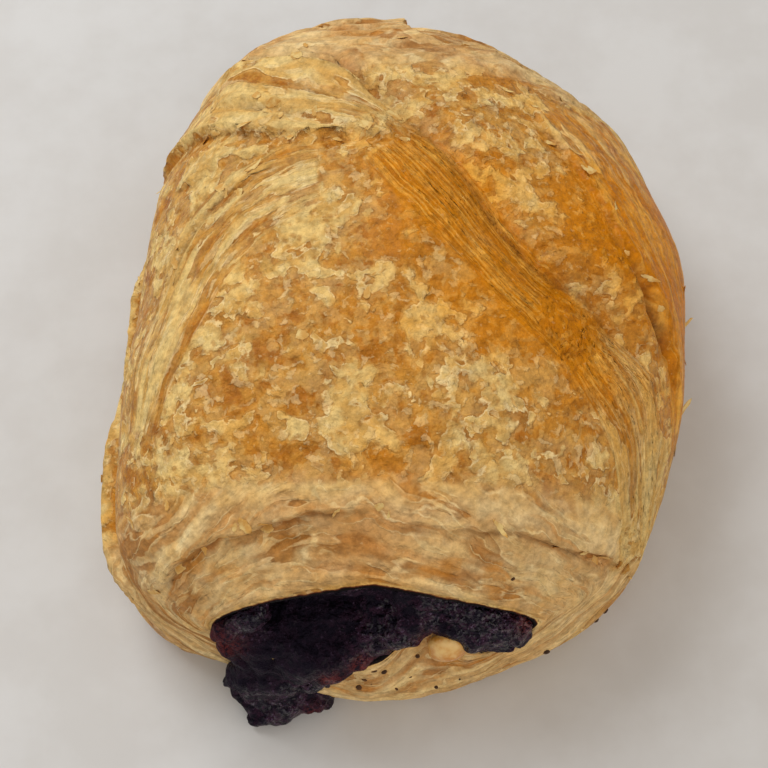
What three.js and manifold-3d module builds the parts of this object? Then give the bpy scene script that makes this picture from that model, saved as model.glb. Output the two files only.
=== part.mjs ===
// A pain au chocolat: laminated dough rolled round a chocolate filling and baked.
// X runs across the roll and Y along it, with the mouth that shows the filling facing -Y. +Z is up,
// and the origin is on the table, under the middle of the whole piece. Sizes are in millimetres.
import * as THREE from 'three';
import Module from 'manifold-3d';

// ---- The loaf's plain form -----------------------------------------------------------------------
const LOAF_HEIGHT = 47.5;
const BELLY_HEIGHT = 8.5; // height of the widest outline above the table
const UNDERCUT = 17; // the smaller, the sooner the sides tuck in below the widest outline
const CROWN_POWER = 2.45; // fullness of the shoulders above the widest outline, 2 being an ellipse
const UNDER_POWER = 2.6; // fullness below it
const FLOOR_BLEND = 14; // sharpness of the turn from the side to the flat base
// Reach of the widest outline from the loaf's middle, at even bearings: +X first, then by way of +Y.
const REACH = [46, 49, 55, 58.5, 60, 60, 50, 41.5, 39, 44, 52, 50, 50, 49, 49, 47];
const LOAF_MIDDLE = new THREE.Vector3(-2.2, -3.55, BELLY_HEIGHT);
const BASE_SETTLE = 0.35; // whatever is lower than this rests flat on the table
const UNEVENNESS = [{ wavelength: 46, height: 0.55 }, { wavelength: 19, height: 0.3 }];

// ---- The passage that the filling runs through, and its two mouths ---------------------------------
const CORE = new THREE.Vector3(-1.7, 3.7, 12.5).add(LOAF_MIDDLE); // on the passage's middle line
const PASSAGE = { halfWidth: 19.5, up: 6, down: 5.5 };
const FRONT_MOUTH = { halfWidth: 22.5, up: 13, down: 4.2, archPower: 1.5 };
const BACK_MOUTH = { halfWidth: 19.5, up: 7, down: 5 };
const MOUTH_POWER = 1.9; // 2 is an ellipse, less gives sharper corners. archPower is a mouth's own, above
const FLARE = 0.3; // share of the way in over which a mouth narrows to the passage
const LIP_ROUNDING = 0.7;
// Where the front mouth's lower lip rises and leans back over the filling: how far across from the
// loaf's middle, over what width, and how far it moves back and up.
const LIP_LIFTS = [
  { across: 5.6, width: 4.4, back: 3.8, up: 4.6 },
  { across: 6, width: 13, back: 2.6, up: 0.9 },
];
const LIP_REACH = { outside: 7, inside: 8 }; // how far from the rim a lift dies away

// ---- Mesh fineness ---------------------------------------------------------------------------------
const COLUMNS = 90; // round the roll
const OUTER_RINGS = 46; // from mouth to mouth over the outside
const INNER_STEPS = [0.014, 0.05, 0.12, 0.24, 0.42, 0.7]; // shares of the way in from a mouth
const SPREAD = { across: 43, along: 56, up: 35 }; // evens out how far apart the directions land
const END_CROWDING = 0.4; // how much closer together the rings lie on the cut ends

// ---- Folds: points on the loaf, measured from its middle at table height ----------------------------
const HOLLOWS = [ // broad swellings, and dips where the height is below nought
  { centre: [22, 17, 42], radius: 13, height: -1.6 }, // basin behind the seam
  { centre: [6, 2, 47], radius: 16, height: 1.1 }, // lobe in front of it
  { centre: [-14, 42, 38], radius: 14, height: 0.9 }, // swelling at the back left
  { centre: [32, 3, 40], radius: 6, height: 1.1 }, // bulge at the seam's right end
];
const GROOVES = [
  { line: [[-4, 37, 43], [4, 26, 45], [12, 15, 46], [21, 2, 45], [31, -3, 41], [38, -11, 33]],
    depth: 2.8, halfWidth: 3.8 },
  { line: [[-22, 42, 37], [-14, 41, 40], [-6, 37, 42], [0, 29, 45]], depth: 1.1, halfWidth: 2.6 },
];
// Edges of overlapping layers. The upper layer lies on the left of its line, looking along it from
// outside, and thins away from the edge over the given run.
const LAYER_EDGES = [
  { line: [[20, 35, 40], [26, 27, 41], [31, 17, 40], [35, 7, 38], [41, -4, 30], [43, -14, 20]],
    height: 1.6, run: 8 },
  { line: [[24, 40, 36], [15, 44, 37], [7, 45, 37], [3, 51, 33], [2, 55, 22]], height: 1.3, run: 10 },
  { line: [[-36, 29, 20], [-31, 30, 31], [-20, 25, 42], [-8, 22, 46], [3, 21, 46]], height: 1.8, run: 7 },
  { line: [[-26, 33, 37], [-18, 29, 42], [-9, 24, 45], [-2, 21, 46]], height: 1.1, run: 5 },
  { line: [[1, 27, 45], [-8, 36, 42], [-16, 40, 40], [-26, 39, 33]], height: 1.4, run: 6 },
  { line: [[-34, -40, 15], [-40, -30, 17], [-42, -15, 17], [-40, 0, 16], [-38, 13, 15], [-38, 26, 13]],
    height: 2.6, run: 9 },
];
// Sheaves of fine layers: evenly spaced edges between a first line and a last one.
const SHEAVES = [
  { first: [[21, 1, 45], [30, -5, 41], [38, -14, 32], [40, -25, 23], [37, -34, 12]],
    last: [[17, -3, 46], [23, -9, 44], [29, -17, 40], [32, -25, 34], [31, -36, 20]],
    count: 3, height: 0.8, run: 4 },
  { first: [[-6, 19, 46], [-19, 19, 43], [-29, 17, 36], [-36, 5, 27], [-38, -15, 24]],
    last: [[-6, 12, 47], [-17, 9, 45], [-25, 0, 42], [-31, -14, 38], [-33, -28, 32]],
    count: 3, height: 0.9, run: 5 },
];
// The layers that show on the cut ends ring their mouth. Each share is the way out from its rim.
const END_LAYERS = { outermost: 26, count: 5, height: 0.75, wander: 1.3 };
const EDGE_RAMP = 4; // width over which a layer's edge steps up
const FOLD_FADE = 5; // the folds die away over this height above the table

// ---- The filling: sections across its run, from the back mouth to the tip of the front spill --------
// Each has its middle, measured from the loaf's middle at table height, its half width, how far it
// reaches up and down, how far it leans forward in degrees, and how lumpy it is.
const FILLING_SECTIONS = [
  { y: 58.7, x: -1.7, z: 20.6, halfWidth: 11, up: 2.5, down: 2, lean: 0, lumps: 1 },
  { y: 56.7, x: -1.7, z: 20.8, halfWidth: 15, up: 5, down: 3.8, lean: 0, lumps: 1 },
  { y: 44, x: -1.7, z: 21, halfWidth: 18.5, up: 5.3, down: 4.8, lean: 0, lumps: 0 },
  { y: 8, x: -1.7, z: 21, halfWidth: 18.5, up: 5.3, down: 4.8, lean: 0, lumps: 0 },
  { y: -24, x: -1.7, z: 21, halfWidth: 18.5, up: 5.2, down: 4.6, lean: 0, lumps: 0 },
  { y: -35, x: -1.7, z: 21.2, halfWidth: 20.5, up: 7.6, down: 3.8, lean: 4, lumps: 0.6 },
  { y: -40.5, x: -2, z: 21.4, halfWidth: 21.3, up: 8.2, down: 4, lean: 14, lumps: 1 },
  { y: -44, x: -4.5, z: 19.2, halfWidth: 17.5, up: 5.6, down: 4, lean: 30, lumps: 1 },
  { y: -46, x: -11.5, z: 15.2, halfWidth: 11.6, up: 4.4, down: 4, lean: 50, lumps: 1 },
  { y: -47.4, x: -15, z: 10.2, halfWidth: 8.8, up: 4, down: 3.8, lean: 68, lumps: 1 },
  { y: -48.8, x: -15.6, z: 5.6, halfWidth: 8.4, up: 4.2, down: 3.8, lean: 80, lumps: 1 },
  { y: -49.7, x: -15.8, z: 2.2, halfWidth: 7.6, up: 3.8, down: 3.4, lean: 86, lumps: 1 },
  { y: -50.1, x: -16, z: 0, halfWidth: 5.6, up: 2.8, down: 2.6, lean: 88, lumps: 0 },
];
const FILLING_RINGS = 29;
const FILLING_COLUMNS = 24;
const FILLING_LUMPS = [{ wavelength: 13, height: 0.55 }, { wavelength: 6, height: 0.3 }];
const CLEARANCE = 0.35; // between the dough and the filling

const CRUST = { color: 0xc4935a, roughness: 0.62, metalness: 0 };
const CHOCOLATE = { color: 0x1a1016, roughness: 0.42, metalness: 0 };

const GOLDEN_TURN = Math.PI * (3 - Math.sqrt(5));
const mix = (from, to, share) => from + (to - from) * share;
const smooth = (share) => {
  const s = Math.min(1, Math.max(0, share));
  return s * s * (3 - 2 * s);
};

// A closed smooth run of values at even bearings, read at any bearing (Catmull-Rom).
function aroundValue(values, bearing) {
  const count = values.length;
  const place = (((bearing / (2 * Math.PI)) * count) % count + count) % count;
  const i = Math.floor(place);
  const f = place - i;
  const [a, b, c, d] = [-1, 0, 1, 2].map((step) => values[(i + step + count) % count]);
  return 0.5 * (2 * b + (c - a) * f + (2 * a - 5 * b + 4 * c - d) * f * f + (3 * b - a - 3 * c + d) * f ** 3);
}

// Smooth random-looking unevenness: waves of one length, run in evenly spread directions.
function waves(point, { wavelength, height }, count = 9) {
  let sum = 0;
  for (let i = 0; i < count; i += 1) {
    const z = 1 - (2 * i + 1) / count;
    const turn = i * GOLDEN_TURN;
    const flat = Math.sqrt(1 - z * z);
    const along = flat * Math.cos(turn) * point.x + flat * Math.sin(turn) * point.y + z * point.z;
    sum += Math.sin((2 * Math.PI * along) / wavelength + 1.7 * i * i);
  }
  return (height * sum) / Math.sqrt(count);
}

// How far a point lies outside the plain loaf, along the ray from the loaf's middle.
function outsidePlainLoaf(point) {
  const arm = point.clone().sub(LOAF_MIDDLE);
  const length = arm.length();
  arm.divideScalar(length);
  const reach = aroundValue(REACH, Math.atan2(arm.y, arm.x));
  const flat = Math.hypot(arm.x, arm.y) / reach;
  const above = arm.z >= 0;
  const rise = Math.abs(arm.z) / (above ? LOAF_HEIGHT - BELLY_HEIGHT : UNDERCUT);
  const power = above ? CROWN_POWER : UNDER_POWER;
  const side = (flat ** power + rise ** power) ** (-1 / power);
  const floor = BELLY_HEIGHT / Math.max(-arm.z, 1e-6);
  return length - (side ** -FLOOR_BLEND + (arm.z < 0 ? floor ** -FLOOR_BLEND : 0)) ** (-1 / FLOOR_BLEND);
}

// The point of the plain loaf that a ray from the core meets.
function onPlainLoaf(direction) {
  let [near, far] = [2, 90];
  for (let step = 0; step < 40; step += 1) {
    const half = (near + far) / 2;
    if (outsidePlainLoaf(direction.clone().multiplyScalar(half).add(CORE)) < 0) near = half;
    else far = half;
  }
  return direction.clone().multiplyScalar(near).add(CORE);
}

function outwardNormal(point) {
  const reach = 0.3;
  const slope = ['x', 'y', 'z'].map((axis) => {
    const [ahead, behind] = [point.clone(), point.clone()];
    ahead[axis] += reach;
    behind[axis] -= reach;
    return outsidePlainLoaf(ahead) - outsidePlainLoaf(behind);
  });
  return new THREE.Vector3(...slope).normalize();
}

// ---- Folds -----------------------------------------------------------------------------------------
const fromMiddle = ([x, y, z]) => new THREE.Vector3(LOAF_MIDDLE.x + x, LOAF_MIDDLE.y + y, z);
const landed = (point) => onPlainLoaf(point.clone().sub(CORE).normalize());

// A smooth line on the loaf through a few points.
function lineOnLoaf(points) {
  const curve = new THREE.CatmullRomCurve3(points.map(fromMiddle), false, 'centripetal');
  return curve.getPoints(24).map(landed);
}

// The nearest place on a line: how far away it is, on which side, and how far along.
function beside(line, point, normal) {
  let best = { away: Infinity };
  for (let i = 0; i + 1 < line.length; i += 1) {
    const run = line[i + 1].clone().sub(line[i]);
    const gap = point.clone().sub(line[i]);
    const share = Math.min(1, Math.max(0, gap.dot(run) / run.lengthSq()));
    gap.addScaledVector(run, -share);
    const away = gap.length();
    if (away < best.away) {
      const left = normal.clone().cross(run).dot(gap) > 0;
      best = { away, side: left ? away : -away, along: (i + share) / (line.length - 1) };
    }
  }
  return best;
}

const endFade = (along) => smooth(along / 0.15) * smooth((1 - along) / 0.15);

// A layer's edge: a step up on its upper side that thins away from the edge, and a slight
// undercut at its foot.
function layerStep(side, { height, run }) {
  const up = smooth(side / EDGE_RAMP + 0.5) * Math.exp(-Math.max(side, 0) / run);
  return height * (up - 0.35 * Math.exp(-((side / EDGE_RAMP + 0.7) ** 2) * 2));
}

const between = (first, last, share) =>
  first.map((point, i) => point.map((value, axis) => mix(value, last[i][axis], share)));

const grooves = GROOVES.map((groove) => ({ ...groove, line: lineOnLoaf(groove.line) }));
const edges = [
  ...LAYER_EDGES,
  ...SHEAVES.flatMap(({ first, last, count, ...shape }) =>
    Array.from({ length: count }, (_, i) => ({ line: between(first, last, i / (count - 1)), ...shape }))),
].map((edge) => ({ ...edge, line: lineOnLoaf(edge.line) }));
const hollows = HOLLOWS.map((hollow) => ({ ...hollow, centre: landed(fromMiddle(hollow.centre)) }));

// The rings of layers on a cut end, stepped outwards from the mouth's rim.
function endLayers(pastRim, point) {
  if (pastRim > END_LAYERS.outermost) return 0;
  const wander = waves(point, { wavelength: 24, height: END_LAYERS.wander });
  const spacing = END_LAYERS.outermost / END_LAYERS.count;
  const share = ((((pastRim + wander) / spacing) % 1) + 1) % 1;
  const fade = smooth(pastRim / 2) * smooth((END_LAYERS.outermost - pastRim) / 4);
  return END_LAYERS.height * fade * (share - 0.5) * smooth((1 - share) / 0.18);
}

function relief(point, normal) {
  let height = 0;
  for (const wave of UNEVENNESS) height += waves(point, wave);
  for (const { centre, radius, height: rise } of hollows) {
    height += rise * Math.exp(-point.distanceToSquared(centre) / radius ** 2);
  }
  for (const groove of grooves) {
    const { away, along } = beside(groove.line, point, normal);
    height -= groove.depth * Math.exp(-((away / groove.halfWidth) ** 2)) * endFade(along);
  }
  for (const edge of edges) {
    const { side, along } = beside(edge.line, point, normal);
    height += layerStep(side, edge) * endFade(along);
  }
  return height;
}

// ---- The passage -----------------------------------------------------------------------------------
// How far a mouth or the passage reaches from its middle line, in one direction across the roll.
function holeReach({ halfWidth, up, down, archPower = MOUTH_POWER }, cosine, sine) {
  const upright = Math.abs(sine) / (sine > 0 ? up : down);
  const power = sine > 0 ? archPower : MOUTH_POWER;
  return ((Math.abs(cosine) / halfWidth) ** power + upright ** power) ** (-1 / power);
}

// A direction from the core: `across` says which way round the roll, `swing` is 0 at the front end
// of the middle line and pi at the back end.
function directionAt(turn, swing) {
  return new THREE.Vector3(
    SPREAD.across * Math.sin(swing) * Math.cos(turn),
    -SPREAD.along * Math.cos(swing),
    SPREAD.up * Math.sin(swing) * Math.sin(turn),
  ).normalize();
}

// The swing at which the loaf's surface meets a mouth of the given reach.
function rimSwing(turn, reach, end) {
  let [inside, outside] = [0.001, 1.3];
  for (let step = 0; step < 30; step += 1) {
    const half = (inside + outside) / 2;
    const swing = end === 'front' ? half : Math.PI - half;
    const point = onPlainLoaf(directionAt(turn, swing)).sub(CORE);
    if (Math.hypot(point.x, point.z) < reach) inside = half;
    else outside = half;
  }
  return end === 'front' ? inside : Math.PI - inside;
}

// Moves a point near the front mouth's lower lip with the lip's lifts. `near` is 1 on the lip.
function liftLip(point, near) {
  for (const { across, width, back, up } of LIP_LIFTS) {
    const weight = near * Math.exp(-(((point.x - LOAF_MIDDLE.x - across) / width) ** 2));
    point.y += weight * back;
    point.z += weight * up;
  }
  return point;
}

// One column of the dough, laid out over the outside from the front rim to the back rim and home by
// the passage, and handed over from back to front as a skin wants it. `swell` moves it all outwards.
function doughColumn(turn, swell) {
  const across = new THREE.Vector2(SPREAD.across * Math.cos(turn), SPREAD.up * Math.sin(turn)).normalize();
  const [front, back, passage] = [FRONT_MOUTH, BACK_MOUTH, PASSAGE].map(
    (hole) => holeReach(hole, across.x, across.y));
  const [from, to] = [rimSwing(turn, front, 'front'), rimSwing(turn, back, 'back')];
  const lower = smooth(-2.5 * across.y); // 1 under the passage, 0 over it
  const column = [];
  const rims = [];
  for (let ring = 0; ring <= OUTER_RINGS; ring += 1) {
    const even = ring / OUTER_RINGS;
    const share = even - (END_CROWDING * Math.sin(2 * Math.PI * even)) / (2 * Math.PI);
    const point = onPlainLoaf(directionAt(turn, mix(from, to, share)));
    const normal = outwardNormal(point);
    const past = Math.hypot(point.x - CORE.x, point.z - CORE.z) - (point.y < CORE.y ? front : back);
    const onEnd = smooth((Math.abs(point.y - CORE.y) - 26) / 12);
    const fold = relief(point, normal) + onEnd * endLayers(past, point);
    const lipFade = smooth(Math.min(ring, OUTER_RINGS - ring) / 3);
    point.addScaledVector(normal, fold * lipFade * smooth((point.z - 0.5) / FOLD_FADE));
    if (ring % OUTER_RINGS === 0) { // a rim, which grows into its mouth as well
      rims.push(point.y);
      point.x -= across.x * swell;
      point.z -= across.y * swell;
    }
    point.addScaledVector(normal, swell);
    if (point.z < BASE_SETTLE) point.z = swell > 0 ? -swell : 0;
    const near = point.y < CORE.y ? Math.exp(-((past / LIP_REACH.outside) ** 2)) : 0;
    column.push(liftLip(point, lower * near));
  }
  const [frontRim, backRim] = rims;
  const inner = (rimY, rimReach, share) => {
    const reach = mix(rimReach - LIP_ROUNDING, passage, smooth(share / FLARE)) - swell;
    const [x, y, z] = [CORE.x + across.x * reach, mix(rimY, CORE.y, share), CORE.z + across.y * reach];
    return liftLip(new THREE.Vector3(x, y, z), lower * Math.exp(-(((y - frontRim) / LIP_REACH.inside) ** 2)));
  };
  for (const share of INNER_STEPS) column.push(inner(backRim, back, share));
  column.push(inner(backRim, back, 1));
  for (const share of INNER_STEPS.toReversed()) column.push(inner(frontRim, front, share));
  return column.reverse();
}

// ---- Meshes ----------------------------------------------------------------------------------------
// Joins columns of points, all the same length and running from back to front, into a closed skin.
// `loop` joins each column's two ends, and without it a middle point closes the skin at each end.
function skin(columns, { loop }) {
  const rows = columns[0].length;
  const positions = columns.flatMap((column) => column.flatMap((point) => point.toArray()));
  const at = (column, row) => (column % columns.length) * rows + (row % rows);
  const place = (corner) => columns[Math.floor(corner / rows)][corner % rows];
  const apart = (one, other) => place(one).distanceTo(place(other));
  const faces = [];
  for (let column = 0; column < columns.length; column += 1) {
    for (let row = 0; row < (loop ? rows : rows - 1); row += 1) {
      const corners = [at(column, row), at(column + 1, row), at(column + 1, row + 1), at(column, row + 1)];
      const [a, b, c, d] = apart(corners[0], corners[2]) <= apart(corners[1], corners[3])
        ? corners : [corners[1], corners[2], corners[3], corners[0]];
      faces.push(a, b, c, a, c, d);
    }
  }
  if (!loop) {
    for (const [row, forward] of [[0, false], [rows - 1, true]]) {
      const middle = columns.reduce((sum, column) => sum.add(column[row]), new THREE.Vector3());
      middle.divideScalar(columns.length);
      positions.push(...middle.toArray());
      const tip = positions.length / 3 - 1;
      for (let column = 0; column < columns.length; column += 1) {
        const [a, b] = [at(column, row), at(column + 1, row)];
        faces.push(...(forward ? [tip, a, b] : [tip, b, a]));
      }
    }
  }
  return { positions: Float32Array.from(positions), faces: Uint32Array.from(faces) };
}

function dough(swell) {
  const columns = [];
  for (let i = 0; i < COLUMNS; i += 1) columns.push(doughColumn((2 * Math.PI * i) / COLUMNS, swell));
  return skin(columns, { loop: true });
}

// The filling's section at any share of its run, read smoothly between the named sections.
function fillingSection(share) {
  const last = FILLING_SECTIONS.length - 1;
  const place = Math.min(share * last, last - 1e-6);
  const i = Math.floor(place);
  const f = place - i;
  const names = Object.keys(FILLING_SECTIONS[0]);
  return Object.fromEntries(names.map((name) => {
    const [a, b, c, d] = [-1, 0, 1, 2].map(
      (step) => FILLING_SECTIONS[Math.min(last, Math.max(0, i + step))][name]);
    const [start, end] = [(c - a) / 2, (d - b) / 2];
    const curve = (3 * (c - b) - 2 * start - end) * f * f + (2 * (b - c) + start + end) * f ** 3;
    return [name, b + start * f + curve];
  }));
}

function filling() {
  const columns = [];
  for (let i = 0; i < FILLING_COLUMNS; i += 1) {
    const turn = (2 * Math.PI * i) / FILLING_COLUMNS;
    const column = [];
    for (let ring = 0; ring < FILLING_RINGS; ring += 1) {
      const section = fillingSection(ring / (FILLING_RINGS - 1));
      const lean = THREE.MathUtils.degToRad(section.lean);
      const across = new THREE.Vector2(section.halfWidth * Math.cos(turn), section.up * Math.sin(turn));
      across.normalize();
      across.multiplyScalar(holeReach(section, across.x, across.y));
      const out = new THREE.Vector3(across.x, -across.y * Math.sin(lean), across.y * Math.cos(lean));
      const point = fromMiddle([section.x, section.y, section.z]).add(out);
      out.normalize();
      for (const lump of FILLING_LUMPS) point.addScaledVector(out, section.lumps * waves(point, lump));
      point.z = Math.max(point.z, 0);
      column.push(point);
    }
    columns.push(column);
  }
  return skin(columns, { loop: false });
}

const wasm = await Module();
wasm.setup();

const solid = ({ positions, faces }) =>
  new wasm.Manifold(new wasm.Mesh({ numProp: 3, vertProperties: positions, triVerts: faces }));

function geometryOf({ positions, faces }) {
  const geometry = new THREE.BufferGeometry();
  geometry.setAttribute('position', new THREE.BufferAttribute(positions, 3));
  geometry.setIndex(new THREE.BufferAttribute(faces, 1));
  geometry.computeVertexNormals();
  return geometry;
}

// The filling fits the passage: what would touch the dough, and any loose scrap, is taken off. The
// dough that is cut from it is grown by the clearance and split into the same triangles.
function fittedFilling(pastry) {
  const grown = { ...dough(CLEARANCE), faces: pastry.faces };
  const pieces = solid(filling()).subtract(solid(grown)).subtract(solid(pastry)).decompose();
  const largest = pieces.reduce((best, piece) => (piece.volume() > best.volume() ? piece : best));
  const { vertProperties, triVerts } = largest.getMesh();
  return { positions: Float32Array.from(vertProperties), faces: Uint32Array.from(triVerts) };
}

function piece(name, shape, finish) {
  const mesh = new THREE.Mesh(geometryOf(shape), new THREE.MeshStandardMaterial(finish));
  mesh.name = name;
  return mesh;
}

const pastry = dough(0);
const painAuChocolat = new THREE.Group();
painAuChocolat.add(piece('pastry', pastry, CRUST));
painAuChocolat.add(piece('chocolate_filling', fittedFilling(pastry), CHOCOLATE));

export default painAuChocolat;
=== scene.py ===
"""The looks of a pain au chocolat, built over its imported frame.

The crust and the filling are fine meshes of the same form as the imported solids, with the folds,
torn layer edges and flakes that the solids are too coarse for. The form classes think in
millimetres, and every mesh is in metres, in the frame's own axes: +Y runs along the roll, away
from the mouth that shows the filling, and +Z is up.
"""

import logging
import math
from dataclasses import dataclass, field
from enum import Enum
from typing import Iterable, Sequence

import bpy
import numpy as np
from mathutils import Matrix, Vector


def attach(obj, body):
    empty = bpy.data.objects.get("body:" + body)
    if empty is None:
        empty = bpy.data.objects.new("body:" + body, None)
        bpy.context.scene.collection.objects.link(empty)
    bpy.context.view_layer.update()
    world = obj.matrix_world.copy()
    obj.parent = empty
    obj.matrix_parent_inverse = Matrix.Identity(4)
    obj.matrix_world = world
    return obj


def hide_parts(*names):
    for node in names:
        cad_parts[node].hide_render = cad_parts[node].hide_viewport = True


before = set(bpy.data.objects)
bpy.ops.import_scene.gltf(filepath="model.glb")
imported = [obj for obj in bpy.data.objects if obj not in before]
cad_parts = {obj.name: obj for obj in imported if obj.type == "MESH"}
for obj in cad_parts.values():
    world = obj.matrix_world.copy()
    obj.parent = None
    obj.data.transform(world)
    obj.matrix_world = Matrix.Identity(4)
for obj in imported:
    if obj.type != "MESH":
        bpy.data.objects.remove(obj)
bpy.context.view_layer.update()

MM = 0.001
BODY = "root"
log = logging.getLogger("pain_au_chocolat")

Array = np.ndarray
Place = tuple[float, float, float]


class Node(str, Enum):
    """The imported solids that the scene's pieces stand for."""

    PASTRY = "pastry"
    FILLING = "chocolate_filling"


class Slot(str, Enum):
    """The material slots, by name."""

    CRUST = "crust"
    FILLING = "filling"


class Field(str, Enum):
    """What a mesh tells its material, vertex by vertex."""

    BAKE = "bake"
    # Painted shade in cracks, valleys and under the layers' edges, as a share of a dark colour.
    CRACK_AND_SHADE = "crack_and_shade"
    PALE = "pale"
    END = "end"
    STRAND = "strand"
    STAIN = "stain"
    THIN = "thin"
    # Where the filling is glossy, and where its colour holds painted sheen and sparkles.
    GLOSS_AND_SHEEN = "wet"
    GRAIN = "grain"


# ---- Small sums -------------------------------------------------------------------------------------


def smooth(share: Array) -> Array:
    """Ease a share from 0 to 1, held outside that range."""
    held = np.clip(share, 0.0, 1.0)
    return held * held * (3.0 - 2.0 * held)


def mix(start: Array, end: Array, share: Array) -> Array:
    """Return the value a share of the way from start to end."""
    return start + (end - start) * share


def lengths(vectors: Array) -> Array:
    """Return the length of each row of an array of vectors."""
    return np.sqrt(np.einsum("...i,...i->...", vectors, vectors))


def bell(value: Array, width: float, middle: float = 0.0) -> Array:
    """Return a bell curve of height 1 round the middle."""
    return np.exp(-(((value - middle) / width) ** 2))


def cubic(four: Iterable[Array], share: Array) -> Array:
    """Read the smooth curve through four evenly placed values.

    Args:
        four: The values, in order.
        share: How far to read from the second towards the third.

    Returns:
        The curve's value there.
    """
    a, b, c, d = four
    f = share
    return 0.5 * (2 * b + (c - a) * f + (2 * a - 5 * b + 4 * c - d) * f**2 + (3 * b - a - 3 * c + d) * f**3)


def spline(knots: Array, places: Array) -> Array:
    """Read a smooth run of knots at fractional places.

    Args:
        knots: One row for each knot.
        places: Where to read, from 0 at the first knot to len(knots) - 1 at the last.

    Returns:
        One row for each place.
    """
    last = len(knots) - 1
    at = np.clip(places, 0, last - 1e-6)
    i = np.floor(at).astype(int)
    return cubic((knots[np.clip(i + step, 0, last)] for step in (-1, 0, 1, 2)), (at - i)[:, None])


@dataclass(frozen=True)
class Noise:
    """Smooth seeded noise in space, between -1 and 1.

    size is the distance between its bumps in millimetres, and each further octave is half as
    large and share times as strong.
    """

    DRAWS = 4096
    MIXERS = (7919, 104729, 1299709)
    NEXT_SEED = 31

    size: float
    seed: int
    octaves: int = 1
    share: float = 0.5

    def at(self, points: Array) -> Array:
        """Read the noise.

        Args:
            points: Places in millimetres.

        Returns:
            The noise at each of them.
        """
        total = np.zeros(len(points))
        strength, size, whole = 1.0, self.size, 0.0
        for octave in range(self.octaves):
            total += strength * self._lattice(points / size, self.seed + self.NEXT_SEED * octave)
            whole += strength
            strength *= self.share
            size *= 0.5
        return total / whole

    def _lattice(self, places: Array, seed: int) -> Array:
        """Read one octave: seeded values at whole places, eased between them.

        Args:
            places: Where to read it, in steps of its size.
            seed: Which values it takes.

        Returns:
            The octave at each place.
        """
        draws = np.random.default_rng(seed).uniform(-1.0, 1.0, self.DRAWS)
        cell = np.floor(places).astype(np.int64)
        ease = smooth(places - cell)
        total = np.zeros(len(places))
        for corner in np.ndindex(2, 2, 2):
            step = np.array(corner)[::-1]
            mixed = ((cell + step) * self.MIXERS).sum(axis=1)
            draw = draws[mixed % self.DRAWS]
            total += draw * np.prod(np.where(step == 1, ease, 1.0 - ease), axis=1)
        return total


@dataclass(frozen=True)
class Waves:
    """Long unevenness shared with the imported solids: waves of one length in even directions."""

    PHASE_STEP = 1.7

    wavelength: float
    height: float
    count: int = 9

    def at(self, points: Array) -> Array:
        """Add the waves up.

        Args:
            points: Places in millimetres.

        Returns:
            The height of the waves at each of them, in millimetres.
        """
        golden = math.pi * (3 - math.sqrt(5))
        total = np.zeros(len(points))
        for i in range(self.count):
            rise = 1 - (2 * i + 1) / self.count
            flat = math.sqrt(1 - rise * rise)
            way = np.array([flat * math.cos(i * golden), flat * math.sin(i * golden), rise])
            total += np.sin(2 * math.pi * (points @ way) / self.wavelength + self.PHASE_STEP * i * i)
        return self.height * total / math.sqrt(self.count)


# ---- The loaf's form, in millimetres ----------------------------------------------------------------


@dataclass(frozen=True)
class Hole:
    """The section of the filling's passage or of one of its mouths, from its middle line."""

    half_width: float
    up: float
    down: float
    power: float = 1.9
    arch_power: float = 1.9

    def reach(self, cosine: Array, sine: Array) -> Array:
        """Measure the hole from its middle line.

        Args:
            cosine: The share of each direction that goes sideways.
            sine: The share of each direction that goes up.

        Returns:
            How far the hole reaches in each direction, in millimetres.
        """
        upright = np.abs(sine) / np.where(sine > 0, self.up, self.down)
        flat = np.abs(cosine) / self.half_width
        power = np.where(sine > 0, self.arch_power, self.power)
        return (flat**power + upright**power) ** (-1 / power)


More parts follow.
